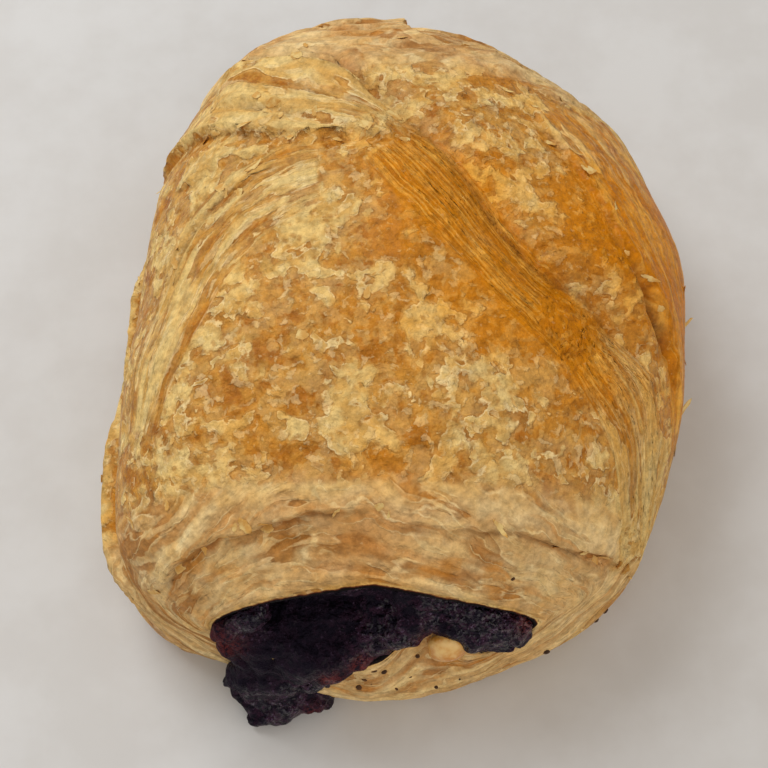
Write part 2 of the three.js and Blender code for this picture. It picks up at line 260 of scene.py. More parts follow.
@dataclass(frozen=True)
class Loaf:
    """The plain roll, before its folds: a full crown over a tucked-in, flat base."""

    NEAREST, FURTHEST, HALVINGS = 2.0, 90.0, 30

    height: float = 47.5
    belly: float = 8.5
    undercut: float = 17.0
    crown_power: float = 2.45
    under_power: float = 2.6
    floor_blend: float = 14.0
    reach: tuple[float, ...] = (46, 49, 55, 58.5, 60, 60, 50, 41.5, 39, 44, 52, 50, 50, 49, 49, 47)
    middle: Place = (-2.2, -3.55, 8.5)
    core_offset: Place = (-1.7, 3.7, 12.5)

    @property
    def core(self) -> Array:
        """A point on the middle line of the filling's passage."""
        return np.array(self.middle) + np.array(self.core_offset)

    def _reach_at(self, bearing: Array) -> Array:
        """Measure the plain loaf in plan.

        Args:
            bearing: Angles round the middle, in radians, from +X towards +Y.

        Returns:
            How far the loaf reaches from its middle at each bearing.
        """
        values = np.array(self.reach)
        count = len(values)
        place = (bearing / (2 * math.pi) * count) % count
        i = np.floor(place).astype(int)
        return cubic((values[(i + step) % count] for step in (-1, 0, 1, 2)), place - i)

    def outside(self, points: Array) -> Array:
        """Measure how far points lie outside the plain loaf.

        Args:
            points: Places in the frame's axes.

        Returns:
            The distance of each, along the ray from the loaf's middle, below nought inside it.
        """
        arm = points - np.array(self.middle)
        length = lengths(arm)
        arm = arm / length[:, None]
        flat = np.hypot(arm[:, 0], arm[:, 1]) / self._reach_at(np.arctan2(arm[:, 1], arm[:, 0]))
        above = arm[:, 2] >= 0
        rise = np.abs(arm[:, 2]) / np.where(above, self.height - self.belly, self.undercut)
        power = np.where(above, self.crown_power, self.under_power)
        side = (flat**power + rise**power) ** (-1 / power)
        floor = self.belly / np.maximum(-arm[:, 2], 1e-6)
        under = np.where(above, 0.0, np.minimum(floor, 1e6) ** -self.floor_blend)
        return length - (side**-self.floor_blend + under) ** (-1 / self.floor_blend)

    def land(self, directions: Array) -> Array:
        """Find where rays from the core meet the plain loaf.

        Args:
            directions: The unit direction of each ray.

        Returns:
            The point where each ray meets it.
        """
        near = np.full(len(directions), self.NEAREST)
        far = np.full(len(directions), self.FURTHEST)
        for _ in range(self.HALVINGS):
            half = (near + far) / 2
            inside = self.outside(self.core + directions * half[:, None]) < 0
            near = np.where(inside, half, near)
            far = np.where(inside, far, half)
        return self.core + directions * near[:, None]

    def normals(self, points: Array) -> Array:
        """Find which way the plain loaf faces.

        Args:
            points: Places on or near the loaf.

        Returns:
            The outward unit direction at each.
        """
        steps = 0.3 * np.eye(3)
        slope = np.stack([self.outside(points + step) - self.outside(points - step) for step in steps], 1)
        return slope / lengths(slope)[:, None]

    def place(self, points: Sequence[Place]) -> Array:
        """Return points given from the loaf's middle at table height, in the frame's axes."""
        return np.array(points, float) + np.array([self.middle[0], self.middle[1], 0.0])


@dataclass(frozen=True)
class Beside:
    """How points lie beside a line: the distance, the signed distance and the share along it."""

    away: Array
    side: Array
    along: Array

    def fade(self, share: float = 0.15) -> Array:
        """Return a weight that dies away over the given share at each end of the line."""
        return smooth(self.along / share) * smooth((1 - self.along) / share)


class LoafLine:
    """A smooth line drawn on the plain loaf through a few points."""

    STEPS = 40

    def __init__(self, loaf: Loaf, points: Sequence[Place]) -> None:
        """Draw the line.

        Args:
            loaf: The loaf that the line lies on.
            points: Points on or near the loaf, from its middle at table height.
        """
        knots = loaf.place(points)
        run = spline(knots, np.linspace(0, len(knots) - 1, self.STEPS + 1))
        ways = run - loaf.core
        self.run = loaf.land(ways / lengths(ways)[:, None])
        self.length = float(lengths(np.diff(self.run, axis=0)).sum())

    def beside(self, points: Array, normals: Array, reach: float = 30.0) -> Beside:
        """Return how points lie beside the line.

        Args:
            points: Points on the loaf.
            normals: The outward direction at each point.
            reach: Points further from the line's box than this are left at that distance.

        Returns:
            The distances. The side is above nought on the left of the line, seen from outside.
        """
        away = np.full(len(points), reach)
        side = np.full(len(points), reach)
        along = np.zeros(len(points))
        low, high = self.run.min(0) - reach, self.run.max(0) + reach
        near = np.nonzero(np.all((points > low) & (points < high), axis=1))[0]
        p, n = points[near], normals[near]
        best = np.full(len(near), np.inf)
        for i in range(self.STEPS):
            step = self.run[i + 1] - self.run[i]
            gap = p - self.run[i]
            share = np.clip(gap @ step / (step @ step), 0, 1)
            gap = gap - share[:, None] * step
            distance = lengths(gap)
            closer = distance < best
            best = np.where(closer, distance, best)
            left = np.einsum("ij,ij->i", np.cross(n, step), gap) > 0
            side[near] = np.where(closer, np.where(left, distance, -distance), side[near])
            along[near] = np.where(closer, (i + share) / self.STEPS, along[near])
        away[near] = np.minimum(best, reach)
        return Beside(away, side, along)


# ---- Folds ------------------------------------------------------------------------------------------


@dataclass
class Skin:
    """The crust being worked: its points, and what has been gathered about each so far."""

    points: Array
    normals: Array
    past_rim: Array
    swell: Array = field(init=False)
    height: Array = field(init=False)
    bake: Array = field(init=False)
    crack_and_shade: Array = field(init=False)
    pale: Array = field(init=False)
    strand: Array = field(init=False)
    end: Array = field(init=False)
    grain: Array = field(init=False)

    def __post_init__(self) -> None:
        """Start every gathered value at nought, with the grain running freely in space."""
        for name in ("swell", "height", "bake", "crack_and_shade", "pale", "strand", "end"):
            setattr(self, name, np.zeros(len(self.points)))
        self.grain = self.points.copy()


@dataclass(frozen=True)
class Swelling:
    """A broad rise of the loaf, or a dip where its height is below nought."""

    centre: Place
    radius: float
    height: float

    def work(self, loaf: Loaf, skin: Skin) -> None:
        """Raise or lower the skin round the centre.

        Args:
            loaf: The loaf that is being folded.
            skin: Its crust, which the fold is worked into.
        """
        way = loaf.place([self.centre])[0] - loaf.core
        middle = loaf.land((way / lengths(way))[None, :])[0]
        far = lengths(skin.points - middle)
        skin.swell += self.height * bell(far, self.radius)


@dataclass(frozen=True)
class Groove:
    """A valley between two lobes, with a torn crack along its bed."""

    CRACK_DEPTH = 0.7
    SHADE = 0.12

    line: tuple[Place, ...]
    depth: float
    half_width: float
    crack_and_shade: float = 0.6
    crack_width: float = 0.5

    def work(self, loaf: Loaf, skin: Skin) -> None:
        """Sink the skin along the line, with painted shade in the crack along its bed and, more faintly, over
        the whole valley.

        Args:
            loaf: The loaf that is being folded.
            skin: Its crust, which the fold is worked into.
        """
        lie = LoafLine(loaf, self.line).beside(skin.points, skin.normals)
        wander = 0.7 * Noise(5.0, 11, 2).at(skin.points)
        valley = bell(lie.away, self.half_width) * lie.fade()
        bed = bell(lie.side + wander, self.crack_width) * lie.fade(0.3)
        skin.height -= self.depth * valley + self.CRACK_DEPTH * self.crack_and_shade * bed
        # Painted shade: the crack and the whole valley are darkened in colour.
        skin.crack_and_shade += self.crack_and_shade * bed + self.SHADE * valley


@dataclass(frozen=True)
class LayerEdge:
    """The torn edge of an overlapping layer, which lies on the left of its line."""

    TORN_REACH = 1.7
    LIP_AT, LIP_WIDTH = 0.75, 0.6
    TEAR_AT, TEAR_WIDTH = -0.4, 0.38
    FOOT_AT, FOOT_WIDTH = -0.6, 1.5
    # Painted shade at the foot of the edge, laid on as extra browning.
    FOOT_SHADE = 0.1

    line: tuple[Place, ...]
    height: float
    run: float
    ragged: float = 0.7
    pale: float = 0.5
    crack_and_shade: float = 0.45
    ramp: float = 0.7
    foot: float = 0.22

    def work(self, loaf: Loaf, skin: Skin) -> None:
        """Step the skin up on the layer's side, its lip paler, partly the film's own colour and partly a
        painted highlight, and its foot darker, as painted shade.

        Args:
            loaf: The loaf that is being folded.
            skin: Its crust, which the fold is worked into.
        """
        lie = LoafLine(loaf, self.line).beside(skin.points, skin.normals)
        torn = Noise(5.0, 23, 3, 0.6).at(skin.points)
        side = lie.side + self.ragged * self.TORN_REACH * torn
        fade = lie.fade(0.2)
        thins = np.exp(-np.maximum(side, 0) / self.run)
        foot = bell(np.minimum(side - self.FOOT_AT, 0), self.FOOT_WIDTH) * smooth((0.4 - side) / 0.7)
        skin.height += self.height * fade * (smooth(side / self.ramp + 0.5) * thins - self.foot * foot)
        # Painted shade in the pocket at the foot, as darker baking.
        skin.bake += self.FOOT_SHADE * self.height * fade * foot
        # The lip's pale film is partly a painted highlight.
        skin.pale += self.pale * fade * bell(side, self.LIP_WIDTH, self.LIP_AT)
        broken = smooth(0.7 + 1.2 * Noise(6.0, 27, 2).at(skin.points))
        # Painted shade along the tear under the layer's edge.
        skin.crack_and_shade += self.crack_and_shade * fade * broken * bell(side, self.TEAR_WIDTH, self.TEAR_AT)


@dataclass(frozen=True)
class Sheaf:
    """Fine layers side by side between a first line and a last one, like drawn strands."""

    REACH = 40.0
    BEYOND = 39
    LEAST_GAP = 1e-3
    MEAN_STEP = 0.45
    LIP_AT, LIP_WIDTH = 0.75, 0.14
    TEAR_AT, TEAR_WIDTH = 0.97, 0.08

    first: tuple[Place, ...]
    last: tuple[Place, ...]
    count: int
    height: float
    bake: float = 0.0
    pale: float = 0.2
    crack_and_shade: float = 0.35
    spill: float = 0.12
    seed: int = 5

    def work(self, loaf: Loaf, skin: Skin) -> None:
        """Comb the skin into saw-toothed layers that wander, part and merge.

        Args:
            loaf: The loaf that is being folded.
            skin: Its crust, which the fold is worked into.
        """
        one = LoafLine(loaf, self.first)
        two = LoafLine(loaf, self.last)
        near, far = (line.beside(skin.points, skin.normals, self.REACH) for line in (one, two))
        gap = near.side - far.side
        across = near.side / np.where(np.abs(gap) < self.LEAST_GAP, self.LEAST_GAP, gap)
        across = np.where(near.away + far.away > self.BEYOND, -9.0, across)
        inside = smooth((across + self.spill) / self.spill) * smooth((1 + self.spill - across) / self.spill)
        weight = inside * near.fade(0.12) * far.fade(0.12)
        wander = 0.55 * Noise(9.0, self.seed, 2).at(skin.points)
        wander += 0.2 * Noise(3.0, self.seed + 1).at(skin.points)
        turns = across * self.count + wander
        tooth = turns - np.floor(turns)
        depth = 0.55 + 0.45 * Noise(7.0, self.seed + 2).at(skin.points)
        step = tooth * smooth((1 - tooth) / 0.22)
        skin.height += self.height * weight * depth * (step - self.MEAN_STEP)
        broken = smooth(0.6 + 1.4 * Noise(8.0, self.seed + 3, 2).at(skin.points))
        # Painted shade along each tooth's drop.
        skin.crack_and_shade += self.crack_and_shade * weight * depth * broken * bell(tooth, self.TEAR_WIDTH, self.TEAR_AT)
        skin.pale += self.pale * weight * bell(tooth, self.LIP_WIDTH, self.LIP_AT)
        skin.bake += self.bake * weight
        along = mix(near.along, far.along, 0.5) * one.length
        combed = np.stack([along, turns, np.full(len(turns), self.seed)], 1)
        skin.grain = np.where((weight > skin.strand)[:, None], combed, skin.grain)
        skin.strand = np.abs(skin.strand - weight)


@dataclass(frozen=True)
class EndLayers:
    """The cut ends, where the dough's layers ring the mouth."""

    MEAN_STEP = 0.45
    LIP_AT, LIP_WIDTH = 0.8, 0.1
    TEAR_AT, TEAR_WIDTH = 0.97, 0.07
    BAND_AT, BAND_WIDTH = 1.3, 0.9
    GRAIN_TURN, GRAIN_START, GRAIN_RISE = 20.0, 77.0, 2.2

    outermost: float = 26.0
    count: int = 11
    height: float = 0.85
    from_core: float = 30.5
    crack_and_shade: float = 0.35
    pale: float = 0.3
    swell: float = 0.6
    band_height: float = 0.45
    band_pale: float = 0.8

    def work(self, loaf: Loaf, skin: Skin) -> None:
        """Step the cut ends into rings that wander and pinch, and mark them as cut.

        Args:
            loaf: The loaf that is being folded.
            skin: Its crust, which the fold is worked into.
        """
        depth_along = np.abs(skin.points[:, 1] - loaf.core[1])
        on_end = smooth((depth_along - self.from_core) / 6.5)
        wander = 2.2 * Noise(19.0, 41, 2).at(skin.points) + 0.7 * Noise(5.0, 42, 2).at(skin.points)
        turns = (skin.past_rim + wander) / (self.outermost / self.count)
        tooth = turns - np.floor(turns)
        fade = smooth(skin.past_rim / 1.5) * smooth((self.outermost - skin.past_rim) / 6.0) * on_end
        depth = np.clip(0.7 + 0.9 * Noise(8.0, 43).at(skin.points), 0.1, 1.4)
        skin.height += self.height * fade * depth * (tooth * smooth((1 - tooth) / 0.25) - self.MEAN_STEP)
        open_depth = np.clip(depth - 0.5, 0, 1)
        # Painted shade along each ring's drop, where it is open.
        skin.crack_and_shade += self.crack_and_shade * fade * open_depth * bell(tooth, self.TEAR_WIDTH, self.TEAR_AT)
        skin.pale += self.pale * fade * bell(tooth, self.LIP_WIDTH, self.LIP_AT)
        skin.height += self.swell * fade * Noise(5.0, 44, 2).at(skin.points)
        band = bell(skin.past_rim, self.BAND_WIDTH, self.BAND_AT) * on_end
        skin.height += self.band_height * band
        skin.pale += self.band_pale * band
        arm = skin.points[:, [0, 2]] - loaf.core[[0, 2]]
        arm /= lengths(arm)[:, None]
        layer = self.GRAIN_START + self.GRAIN_RISE * arm[:, 1]
        combed = np.stack([self.GRAIN_TURN * arm[:, 0], turns, layer], 1)
        skin.grain = np.where((fade > skin.strand)[:, None], combed, skin.grain)
        skin.end = np.maximum(fade - skin.strand, 0)
        skin.strand = np.maximum(skin.strand - fade, 0)


@dataclass(frozen=True)
class Toasting:
    """A part of the crust that the oven browned more, or less where bake is below nought."""

    centre: Place
    radius: float
    bake: float = 0.0
    pale: float = 0.0

    def work(self, loaf: Loaf, skin: Skin) -> None:
        """Brown the skin round the centre, or leave pale film there, with an uneven border.

        Args:
            loaf: The loaf that is being folded.
            skin: Its crust, which the fold is worked into.
        """
        middle = loaf.place([self.centre])[0]
        far = lengths(skin.points - middle) * (1 + 0.35 * Noise(11.0, 61, 3).at(skin.points))
        weight = bell(far, self.radius)
        skin.bake += self.bake * weight
        skin.pale += self.pale * weight


@dataclass(frozen=True)
class Blisters:
    """Small even roughness of the whole crust: blisters, and flakes large enough to feel."""

    FLAKE_FROM, FLAKE_RAMP = 0.05, 0.06
    COMBED_SHARE = 0.7

    blister: float = 0.16
    flake: float = 0.14

    def work(self, loaf: Loaf, skin: Skin) -> None:
        """Raise blisters and the larger flakes, away from the combed parts.

        Args:
            loaf: The loaf that is being folded.
            skin: Its crust, which the fold is worked into.
        """
        free = 1 - self.COMBED_SHARE * np.maximum(skin.strand, skin.end)
        skin.height += free * self.blister * Noise(3.4, 71, 3, 0.6).at(skin.points)
        patch = Noise(8.0, 72, 4, 0.6).at(skin.points)
        skin.height += free * self.flake * smooth((patch - self.FLAKE_FROM) / self.FLAKE_RAMP)


SEAM = ((-4, 37, 43), (4, 26, 45), (12, 15, 46), (21, 2, 45), (31, -3, 41), (38, -11, 33))

FOLDS = (
    Swelling((22, 17, 42), 13, -1.6),
    Swelling((6, 2, 47), 16, 1.1),
    Swelling((-14, 42, 38), 14, 0.9),
    Swelling((32, 3, 40), 6, 1.1),
    Sheaf(
        ((-3, 30, 45), (8, 20, 46), (17, 8, 46), (25, -1, 44), (35, -7, 37)),
        ((-3, 19, 47), (3, 11, 47), (10, 3, 47), (18, -6, 45), (28, -14, 40)),
        count=9, height=0.75, bake=0.42, pale=0.12, crack_and_shade=0.15, spill=0.3, seed=101,
    ),
    Sheaf(
        ((22, 1, 45), (29, -3.5, 42), (37, -10, 35), (40, -18, 28), (41, -26, 20), (38, -34, 11)),
        ((17, -3, 46), (23, -9, 44), (28, -16, 40), (32, -23, 35), (33, -30, 28), (32, -37, 17)),
        count=9, height=0.9, bake=0.16, crack_and_shade=0.2, spill=0.2, seed=111,
    ),
    Sheaf(
        ((-6, 19, 46), (-17, 18.5, 44), (-26, 14, 40.5), (-32, 5, 36), (-35, -8, 33), (-36, -20, 29)),
        ((-6, 11, 47), (-15, 9, 46), (-22, 3, 44), (-28, -8, 41), (-31, -20, 36), (-31, -32, 31)),
        count=6, height=0.7, pale=0.05, crack_and_shade=0.12, spill=0.25, seed=121,
    ),
    Sheaf(
        ((3, 22, 46), (-8, 23, 46), (-20, 26, 42), (-31, 31, 31)),
        ((2, 27, 45), (-8, 36, 42), (-16, 40, 40), (-26, 39, 33)),
        count=5, height=0.8, pale=0.15, crack_and_shade=0.25, spill=0.1, seed=131,
    ),
    Sheaf(
        ((22, 34, 40), (31, 18, 40), (36, 6, 37), (42, -8, 28), (43, -22, 16)),
        ((26, 44, 30), (37, 34, 28), (44, 20, 26), (48, 4, 20), (46, -14, 12)),
        count=6, height=0.4, bake=0.25, pale=0.15, seed=141,
    ),
    Groove(SEAM, 2.4, 3.4, crack_and_shade=0.5),
    Groove(((-22, 42, 37), (-14, 41, 40), (-6, 37, 42), (0, 29, 45)), 1.3, 2.2, crack_and_shade=0.25),
    Groove(((41, -5, 29), (38, 0, 34), (35, 5, 38)), 1.3, 1.6, crack_and_shade=0.7, crack_width=0.6),
    LayerEdge(
        (
            (-34, -39, 20), (-29, -38, 29), (-25, -36, 33), (-20, -35, 36),
            (-13, -34, 39), (-7, -33, 40), (2, -33, 41),
        ),
        1.2, 4, pale=0.8, crack_and_shade=0.8, foot=0.5,
    ),
    LayerEdge(
        ((-4, -34, 40), (6, -35, 39.5), (15, -35, 37), (23, -35.5, 33), (30, -35, 27), (34, -34, 18)),
        1.0, 4, pale=0.7, crack_and_shade=0.7, foot=0.5,
    ),
    LayerEdge(((20, 35, 40), (26, 27, 41), (31, 17, 40), (35, 7, 38), (41, -4, 30), (43, -14, 20)), 1.2, 8),
    LayerEdge(
        ((37, -2, 35), (34, 3.5, 39), (29.5, 6, 42), (25, 4.5, 44), (22, 1, 45)),
        1.5, 4, pale=0.7, crack_and_shade=0.5,
    ),
    LayerEdge(((24, 40, 36), (15, 44, 37), (7, 45, 37), (3, 51, 33), (2, 55, 22)), 1.3, 10),
    LayerEdge(((-36, 29, 20), (-31, 30, 31), (-20, 25, 42), (-8, 22, 46), (3, 21, 46)), 1.5, 7, pale=0.9),
    LayerEdge(((-26, 33, 37), (-18, 29, 42), (-9, 24, 45), (-2, 21, 46)), 1.0, 5, pale=0.9),
    LayerEdge(((1, 27, 45), (-8, 36, 42), (-16, 40, 40), (-26, 39, 33)), 1.4, 6, pale=0.7),
    LayerEdge(((-2, 33, 44), (-9, 41, 41), (-17, 44, 37), (-25, 43, 31)), 0.9, 5, pale=0.5),
    LayerEdge(((-32, 20, 34), (-27, 21, 39), (-20, 20.5, 43), (-11, 19.5, 46)), 0.7, 4, pale=0.6),
    LayerEdge(((-33, 2, 35), (-29, 10, 38), (-25, 14, 41), (-19, 17, 44), (-8, 18, 46)), 0.6, 4, pale=0.6),
    LayerEdge(
        ((-34, -40, 15), (-40, -30, 17), (-42, -15, 17), (-40, 0, 16), (-38, 13, 15), (-38, 26, 13)),
        2.6, 9, pale=0.9, ramp=1.6,
    ),
    EndLayers(),
    Toasting((-15, 19.5, 45), 3.0, bake=0.3, pale=-0.5),
    Toasting((-10, 40, 41), 3.5, bake=0.3, pale=-0.4),
    Toasting((10, 14, 46), 10, bake=0.45),
    Toasting((2, 6, 47), 7, bake=0.45),
    Toasting((16, -3, 46), 9, bake=0.62, pale=-0.6),
    Toasting((-2, -8, 47), 5, bake=0.2),
    Toasting((30, 6, 41), 6, bake=0.35, pale=-0.3),
    Toasting((44, 10, 30), 16, bake=0.55, pale=-0.3),
    Toasting((40, -12, 24), 12, bake=0.35),
    Toasting((26, -12, 42), 9, bake=0.3),
    Toasting((30, -30, 30), 10, bake=-0.05, pale=0.1),
    Toasting((-30, -10, 36), 22, bake=0.04),
    Toasting((-20, 25, 42), 14, bake=-0.1, pale=0.05),
    Toasting((18, 20, 43), 9, bake=0.28),
    Toasting((14, 33, 43), 6, pale=0.2),
    Toasting((10, 44, 38), 14, bake=0.27),
    Toasting((26, 14, 42), 6, bake=0.25),
    Toasting((0, -26, 43), 16, bake=0.2),
    Toasting((37, -25, 25), 9, bake=-0.5, pale=0.45),
    Toasting((24, -38, 24), 8, bake=-0.3, pale=0.3),
    Toasting((4, -45, 8), 12, bake=-0.3, pale=0.3),
    Toasting((-4, -37, 37), 10, bake=0.45),
    Toasting((-16, 38, 39), 8, bake=-0.12, pale=0.05),
    # Painted shade: a dark pocket behind the crescent's lifted edge, with its film cleared.
    Toasting((30, 9, 41), 4.5, bake=0.65, pale=-0.8),
    Toasting((34.5, 8, 38.5), 4, bake=0.6, pale=-0.7),
    Toasting((-6, 47, 35), 9, bake=0.4, pale=-0.1),
    Toasting((-26, -26, 38), 14, bake=0.02),
    Toasting((28, -24, 38), 14, bake=0.12),
    Toasting((34, 14, 38), 12, bake=0.16),
    Toasting((-24, 0, 41), 6, pale=0.3),
    Toasting((-8, -20, 44), 8, pale=0.1),
    Blisters(),
)


# ---- Meshes -----------------------------------------------------------------------------------------


class Weave:
    """A sheet of quads, added as a grid and laid over a form by its rows of points."""

    def __init__(self, name: str, columns: int, rows: int) -> None:
        """Add the sheet.

        Args:
            name: The piece's name.
            columns: How many quads go round the form.
            rows: How many quads go along it.
        """
        bpy.ops.object.select_all(action="DESELECT")
        bpy.ops.mesh.primitive_grid_add(x_subdivisions=columns, y_subdivisions=rows, size=1.0)
        self.piece = bpy.context.object
        self.piece.name = name
        self.piece.data.name = name
        self.shape = (rows + 1, columns + 1)

    def lay(self, points: Array) -> None:
        """Lay the sheet over points in millimetres, one row of points after another."""
        flat = (points * MM).astype(np.float32).ravel()
        self.piece.data.vertices.foreach_set("co", flat)

    def close(self, merge: float = 1e-6) -> bpy.types.Object:
        """Sew the sheet's meeting edges, turn its faces outwards and smooth it.

        Args:
            merge: Points closer than this, in metres, become one.

        Returns:
            The closed piece.
        """
        bpy.context.view_layer.objects.active = self.piece
        self.piece.select_set(True)
        bpy.ops.object.mode_set(mode="EDIT")
        bpy.ops.mesh.select_all(action="SELECT")
        bpy.ops.mesh.remove_doubles(threshold=merge)
        bpy.ops.mesh.normals_make_consistent(inside=False)
        bpy.ops.object.mode_set(mode="OBJECT")
        bpy.ops.object.shade_smooth()
        self.piece.select_set(False)
        return self.piece


def tell(piece: bpy.types.Object, name: Field, values: Array) -> None:
    """Store values in a piece for its material to read.

    Args:
        piece: The piece that holds them.
        name: The name that the material reads them by.
        values: A number, or a vector, for each of the piece's points.
    """
    kind = "FLOAT_VECTOR" if values.ndim == 2 else "FLOAT"
    made = piece.data.attributes.new(name.value, kind, "POINT")
    made.data.foreach_set("vector" if values.ndim == 2 else "value", values.astype(np.float32).ravel())


def dress(piece: bpy.types.Object, material: bpy.types.Material) -> None:
    """Give a piece one material."""
    piece.data.materials.clear()
    piece.data.materials.append(material)


def settle(piece: bpy.types.Object, slot: Slot, *nodes: Node) -> None:
    """Make a piece ride on the body, and hide the solids that it replaces.

    Args:
        piece: The finished piece.
        slot: Not used.
        nodes: The solids that it replaces, if any.
    """
    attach(piece, BODY)
    if nodes:
        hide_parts(*(node.value for node in nodes))
    log.info("%s: %d faces", piece.name, len(piece.data.polygons))


@dataclass(frozen=True)
class LipLift:
    """A part of the front mouth's lower lip that rises and leans back over the filling."""

    across: float
    width: float
    back: float
    up: float

    def move(self, across: Array, weight: Array) -> Array:
        """Return how far points so far across the roll move, by their nearness to the lip."""
        near = weight * bell(across, self.width, self.across)
        return near[..., None] * np.array([0.0, self.back, self.up])


@dataclass
class Crust:
    """The baked dough: the folded loaf with the filling's passage through it."""

    LEAST_SWING, MOST_SWING, HALVINGS = 0.001, 1.3, 26
    ROWS_TO_FULL_RELIEF = 8
    STEP_CROWDING = 2.2
    STAIN_WIDTH = 0.9
    PASSAGE_BAKE = 0.2

    loaf: Loaf = field(default_factory=Loaf)
    passage: Hole = Hole(19.5, 6.0, 5.5)
    front_mouth: Hole = Hole(22.5, 13.0, 4.2, arch_power=1.5)
    back_mouth: Hole = Hole(19.5, 7.0, 5.0)
    columns: int = 396
    outer_rows: int = 232
    inner_rows: int = 16
    spread: Place = (43, 56, 35)
    end_crowding: float = 0.4
    flare: float = 0.3
    lip_rounding: float = 0.7
    base_settle: float = 0.35
    fold_fade: float = 5.0
    waves: tuple[Waves, ...] = (Waves(46, 0.55), Waves(19, 0.3))
    lip_lifts: tuple[LipLift, ...] = (LipLift(5.6, 4.2, 3.9, 4.8), LipLift(6.0, 13.0, 2.6, 0.9))
    lip_reach: tuple[float, float] = (7.0, 8.0)
    crowd_top: float = 0.25

    def _direction(self, turn: Array, swing: Array) -> Array:
        """Point from the core round the roll and along it.

        Args:
            turn: The angle round the roll, from +X towards +Z.
            swing: The angle from the front end to the back one.

        Returns:
            A unit direction for each pair of angles.
        """
        across, along, up = self.spread
        x = across * np.sin(swing) * np.cos(turn)
        z = up * np.sin(swing) * np.sin(turn)
        way = np.stack([x, -along * np.cos(swing), z], -1)
        return way / lengths(way)[..., None]

    def _rim_swing(self, turn: Array, reach: Array, front: bool) -> Array:
        """Find where the loaf's surface meets the rim of a mouth.

        Args:
            turn: The angle round the roll of each column.
            reach: How far the mouth reaches at each column.
            front: Whether it is the front mouth.

        Returns:
            The swing of the rim at each column.
        """
        inside = np.full(len(turn), self.LEAST_SWING)
        outside = np.full(len(turn), self.MOST_SWING)
        for _ in range(self.HALVINGS):
            half = (inside + outside) / 2
            point = self.loaf.land(self._direction(turn, half if front else math.pi - half)) - self.loaf.core
            small = np.hypot(point[:, 0], point[:, 2]) < reach
            inside = np.where(small, half, inside)
            outside = np.where(small, outside, half)
        return inside if front else math.pi - inside

    def _ways_across(self, turn: Array) -> Array:
        """Return the unit direction across the roll, as X and Z, of each column."""
        way = np.stack([self.spread[0] * np.cos(turn), self.spread[2] * np.sin(turn)], 1)
        return way / lengths(way)[:, None]

    def _outer(self, turn: Array, reaches: tuple[Array, Array]) -> tuple[Skin, Array]:
        """Lay out the unfolded outside.

        Args:
            turn: The angle round the roll of each column.
            reaches: How far the front mouth and the back one reach at each column.

        Returns:
            The outside as a skin, and how far along it each of its points lies, from 0 to 1.
        """
        front, back = self._rim_swing(turn, reaches[0], True), self._rim_swing(turn, reaches[1], False)
        even = np.linspace(0, 1, self.outer_rows + 1)[:, None]
        share = even - self.end_crowding * np.sin(2 * math.pi * even) / (2 * math.pi)
        swing = mix(front[None, :], back[None, :], share)
        ways = self._direction(np.broadcast_to(turn, swing.shape), swing).reshape(-1, 3)
        points = self.loaf.land(ways)
        across = np.hypot(points[:, 0] - self.loaf.core[0], points[:, 2] - self.loaf.core[2])
        on_front = points[:, 1] < self.loaf.core[1]
        rim = np.where(on_front, np.tile(reaches[0], len(even)), np.tile(reaches[1], len(even)))
        return Skin(points, self.loaf.normals(points), across - rim), np.repeat(even[:, 0], len(turn))

    def _inner(self, rims: tuple[Array, Array], reaches: tuple[Array, Array, Array], ways: Array) -> Array:
        """Return the rows of the passage, from the back mouth to the front one.

        Args:
            rims: The Y of the front and back rim at each column.
            reaches: How far the front mouth, the back mouth and the passage reach at each column.
            ways: The direction across the roll of each column.

        Returns:
            An array of rows by columns by 3.
        """
        core = self.loaf.core
        half = self.inner_rows // 2
        steps = (np.arange(1, half + 1) / half) ** self.STEP_CROWDING
        rows = []
        for rim, reach, shares in ((rims[1], reaches[1], steps), (rims[0], reaches[0], steps[-2::-1])):
            for share in shares:
                out = mix(reach - self.lip_rounding, reaches[2], smooth(share / self.flare))
                x, y, z = core[0] + ways[:, 0] * out, mix(rim, core[1], share), core[2] + ways[:, 1] * out
                rows.append(np.stack([x, y, z], 1))
        return np.stack(rows)

    def build(self, material: bpy.types.Material) -> bpy.types.Object:
        """Fold the loaf, open its passage and dress it.

        Args:
            material: The crust's finish.

        Returns:
            The closed crust.
        """
        even = np.linspace(0, 2 * math.pi, self.columns + 1)
        turn = even + self.crowd_top * np.cos(even) - self.crowd_top
        ways = self._ways_across(turn)
        holes = (self.front_mouth, self.back_mouth, self.passage)
        reaches = tuple(hole.reach(ways[:, 0], ways[:, 1]) for hole in holes)
        skin, share = self._outer(turn, reaches[:2])
        for wave in self.waves:
            skin.height += wave.at(skin.points)
        for fold in FOLDS:
            fold.work(self.loaf, skin)
        rows = np.minimum(share, 1 - share) * self.outer_rows
        above = smooth((skin.points[:, 2] - 0.5) / self.fold_fade)
        relief = skin.height * smooth(rows / self.ROWS_TO_FULL_RELIEF)
        points = skin.points + skin.normals * (above * (skin.swell + relief))[:, None]
        points[points[:, 2] < self.base_settle, 2] = 0.0
        outer = points.reshape(self.outer_rows + 1, -1, 3)
        inner = self._inner((outer[0, :, 1], outer[-1, :, 1]), reaches, ways)
        past = skin.past_rim.reshape(outer.shape[:2])
        lower = smooth(-2.5 * ways[:, 1])
        on_front = outer[..., 1] < self.loaf.core[1]
        near_out = lower * on_front * bell(past, self.lip_reach[0])
        near_in = lower * bell(inner[..., 1] - outer[0, :, 1], self.lip_reach[1])
        for rows_of, near in ((outer, near_out), (inner, near_in)):
            moves = [lift.move(rows_of[..., 0] - self.loaf.middle[0], near) for lift in self.lip_lifts]
            rows_of += sum(moves)
        whole = np.concatenate([outer, inner, outer[:1]])
        weave = Weave("crust", self.columns, len(whole) - 1)
        weave.lay(whole.reshape(-1, 3))
        extra = len(whole) - len(outer)
        self._tell(weave, skin, extra)
        piece = weave.close()
        dress(piece, material)
        settle(piece, Slot.CRUST, Node.PASTRY)
        return piece

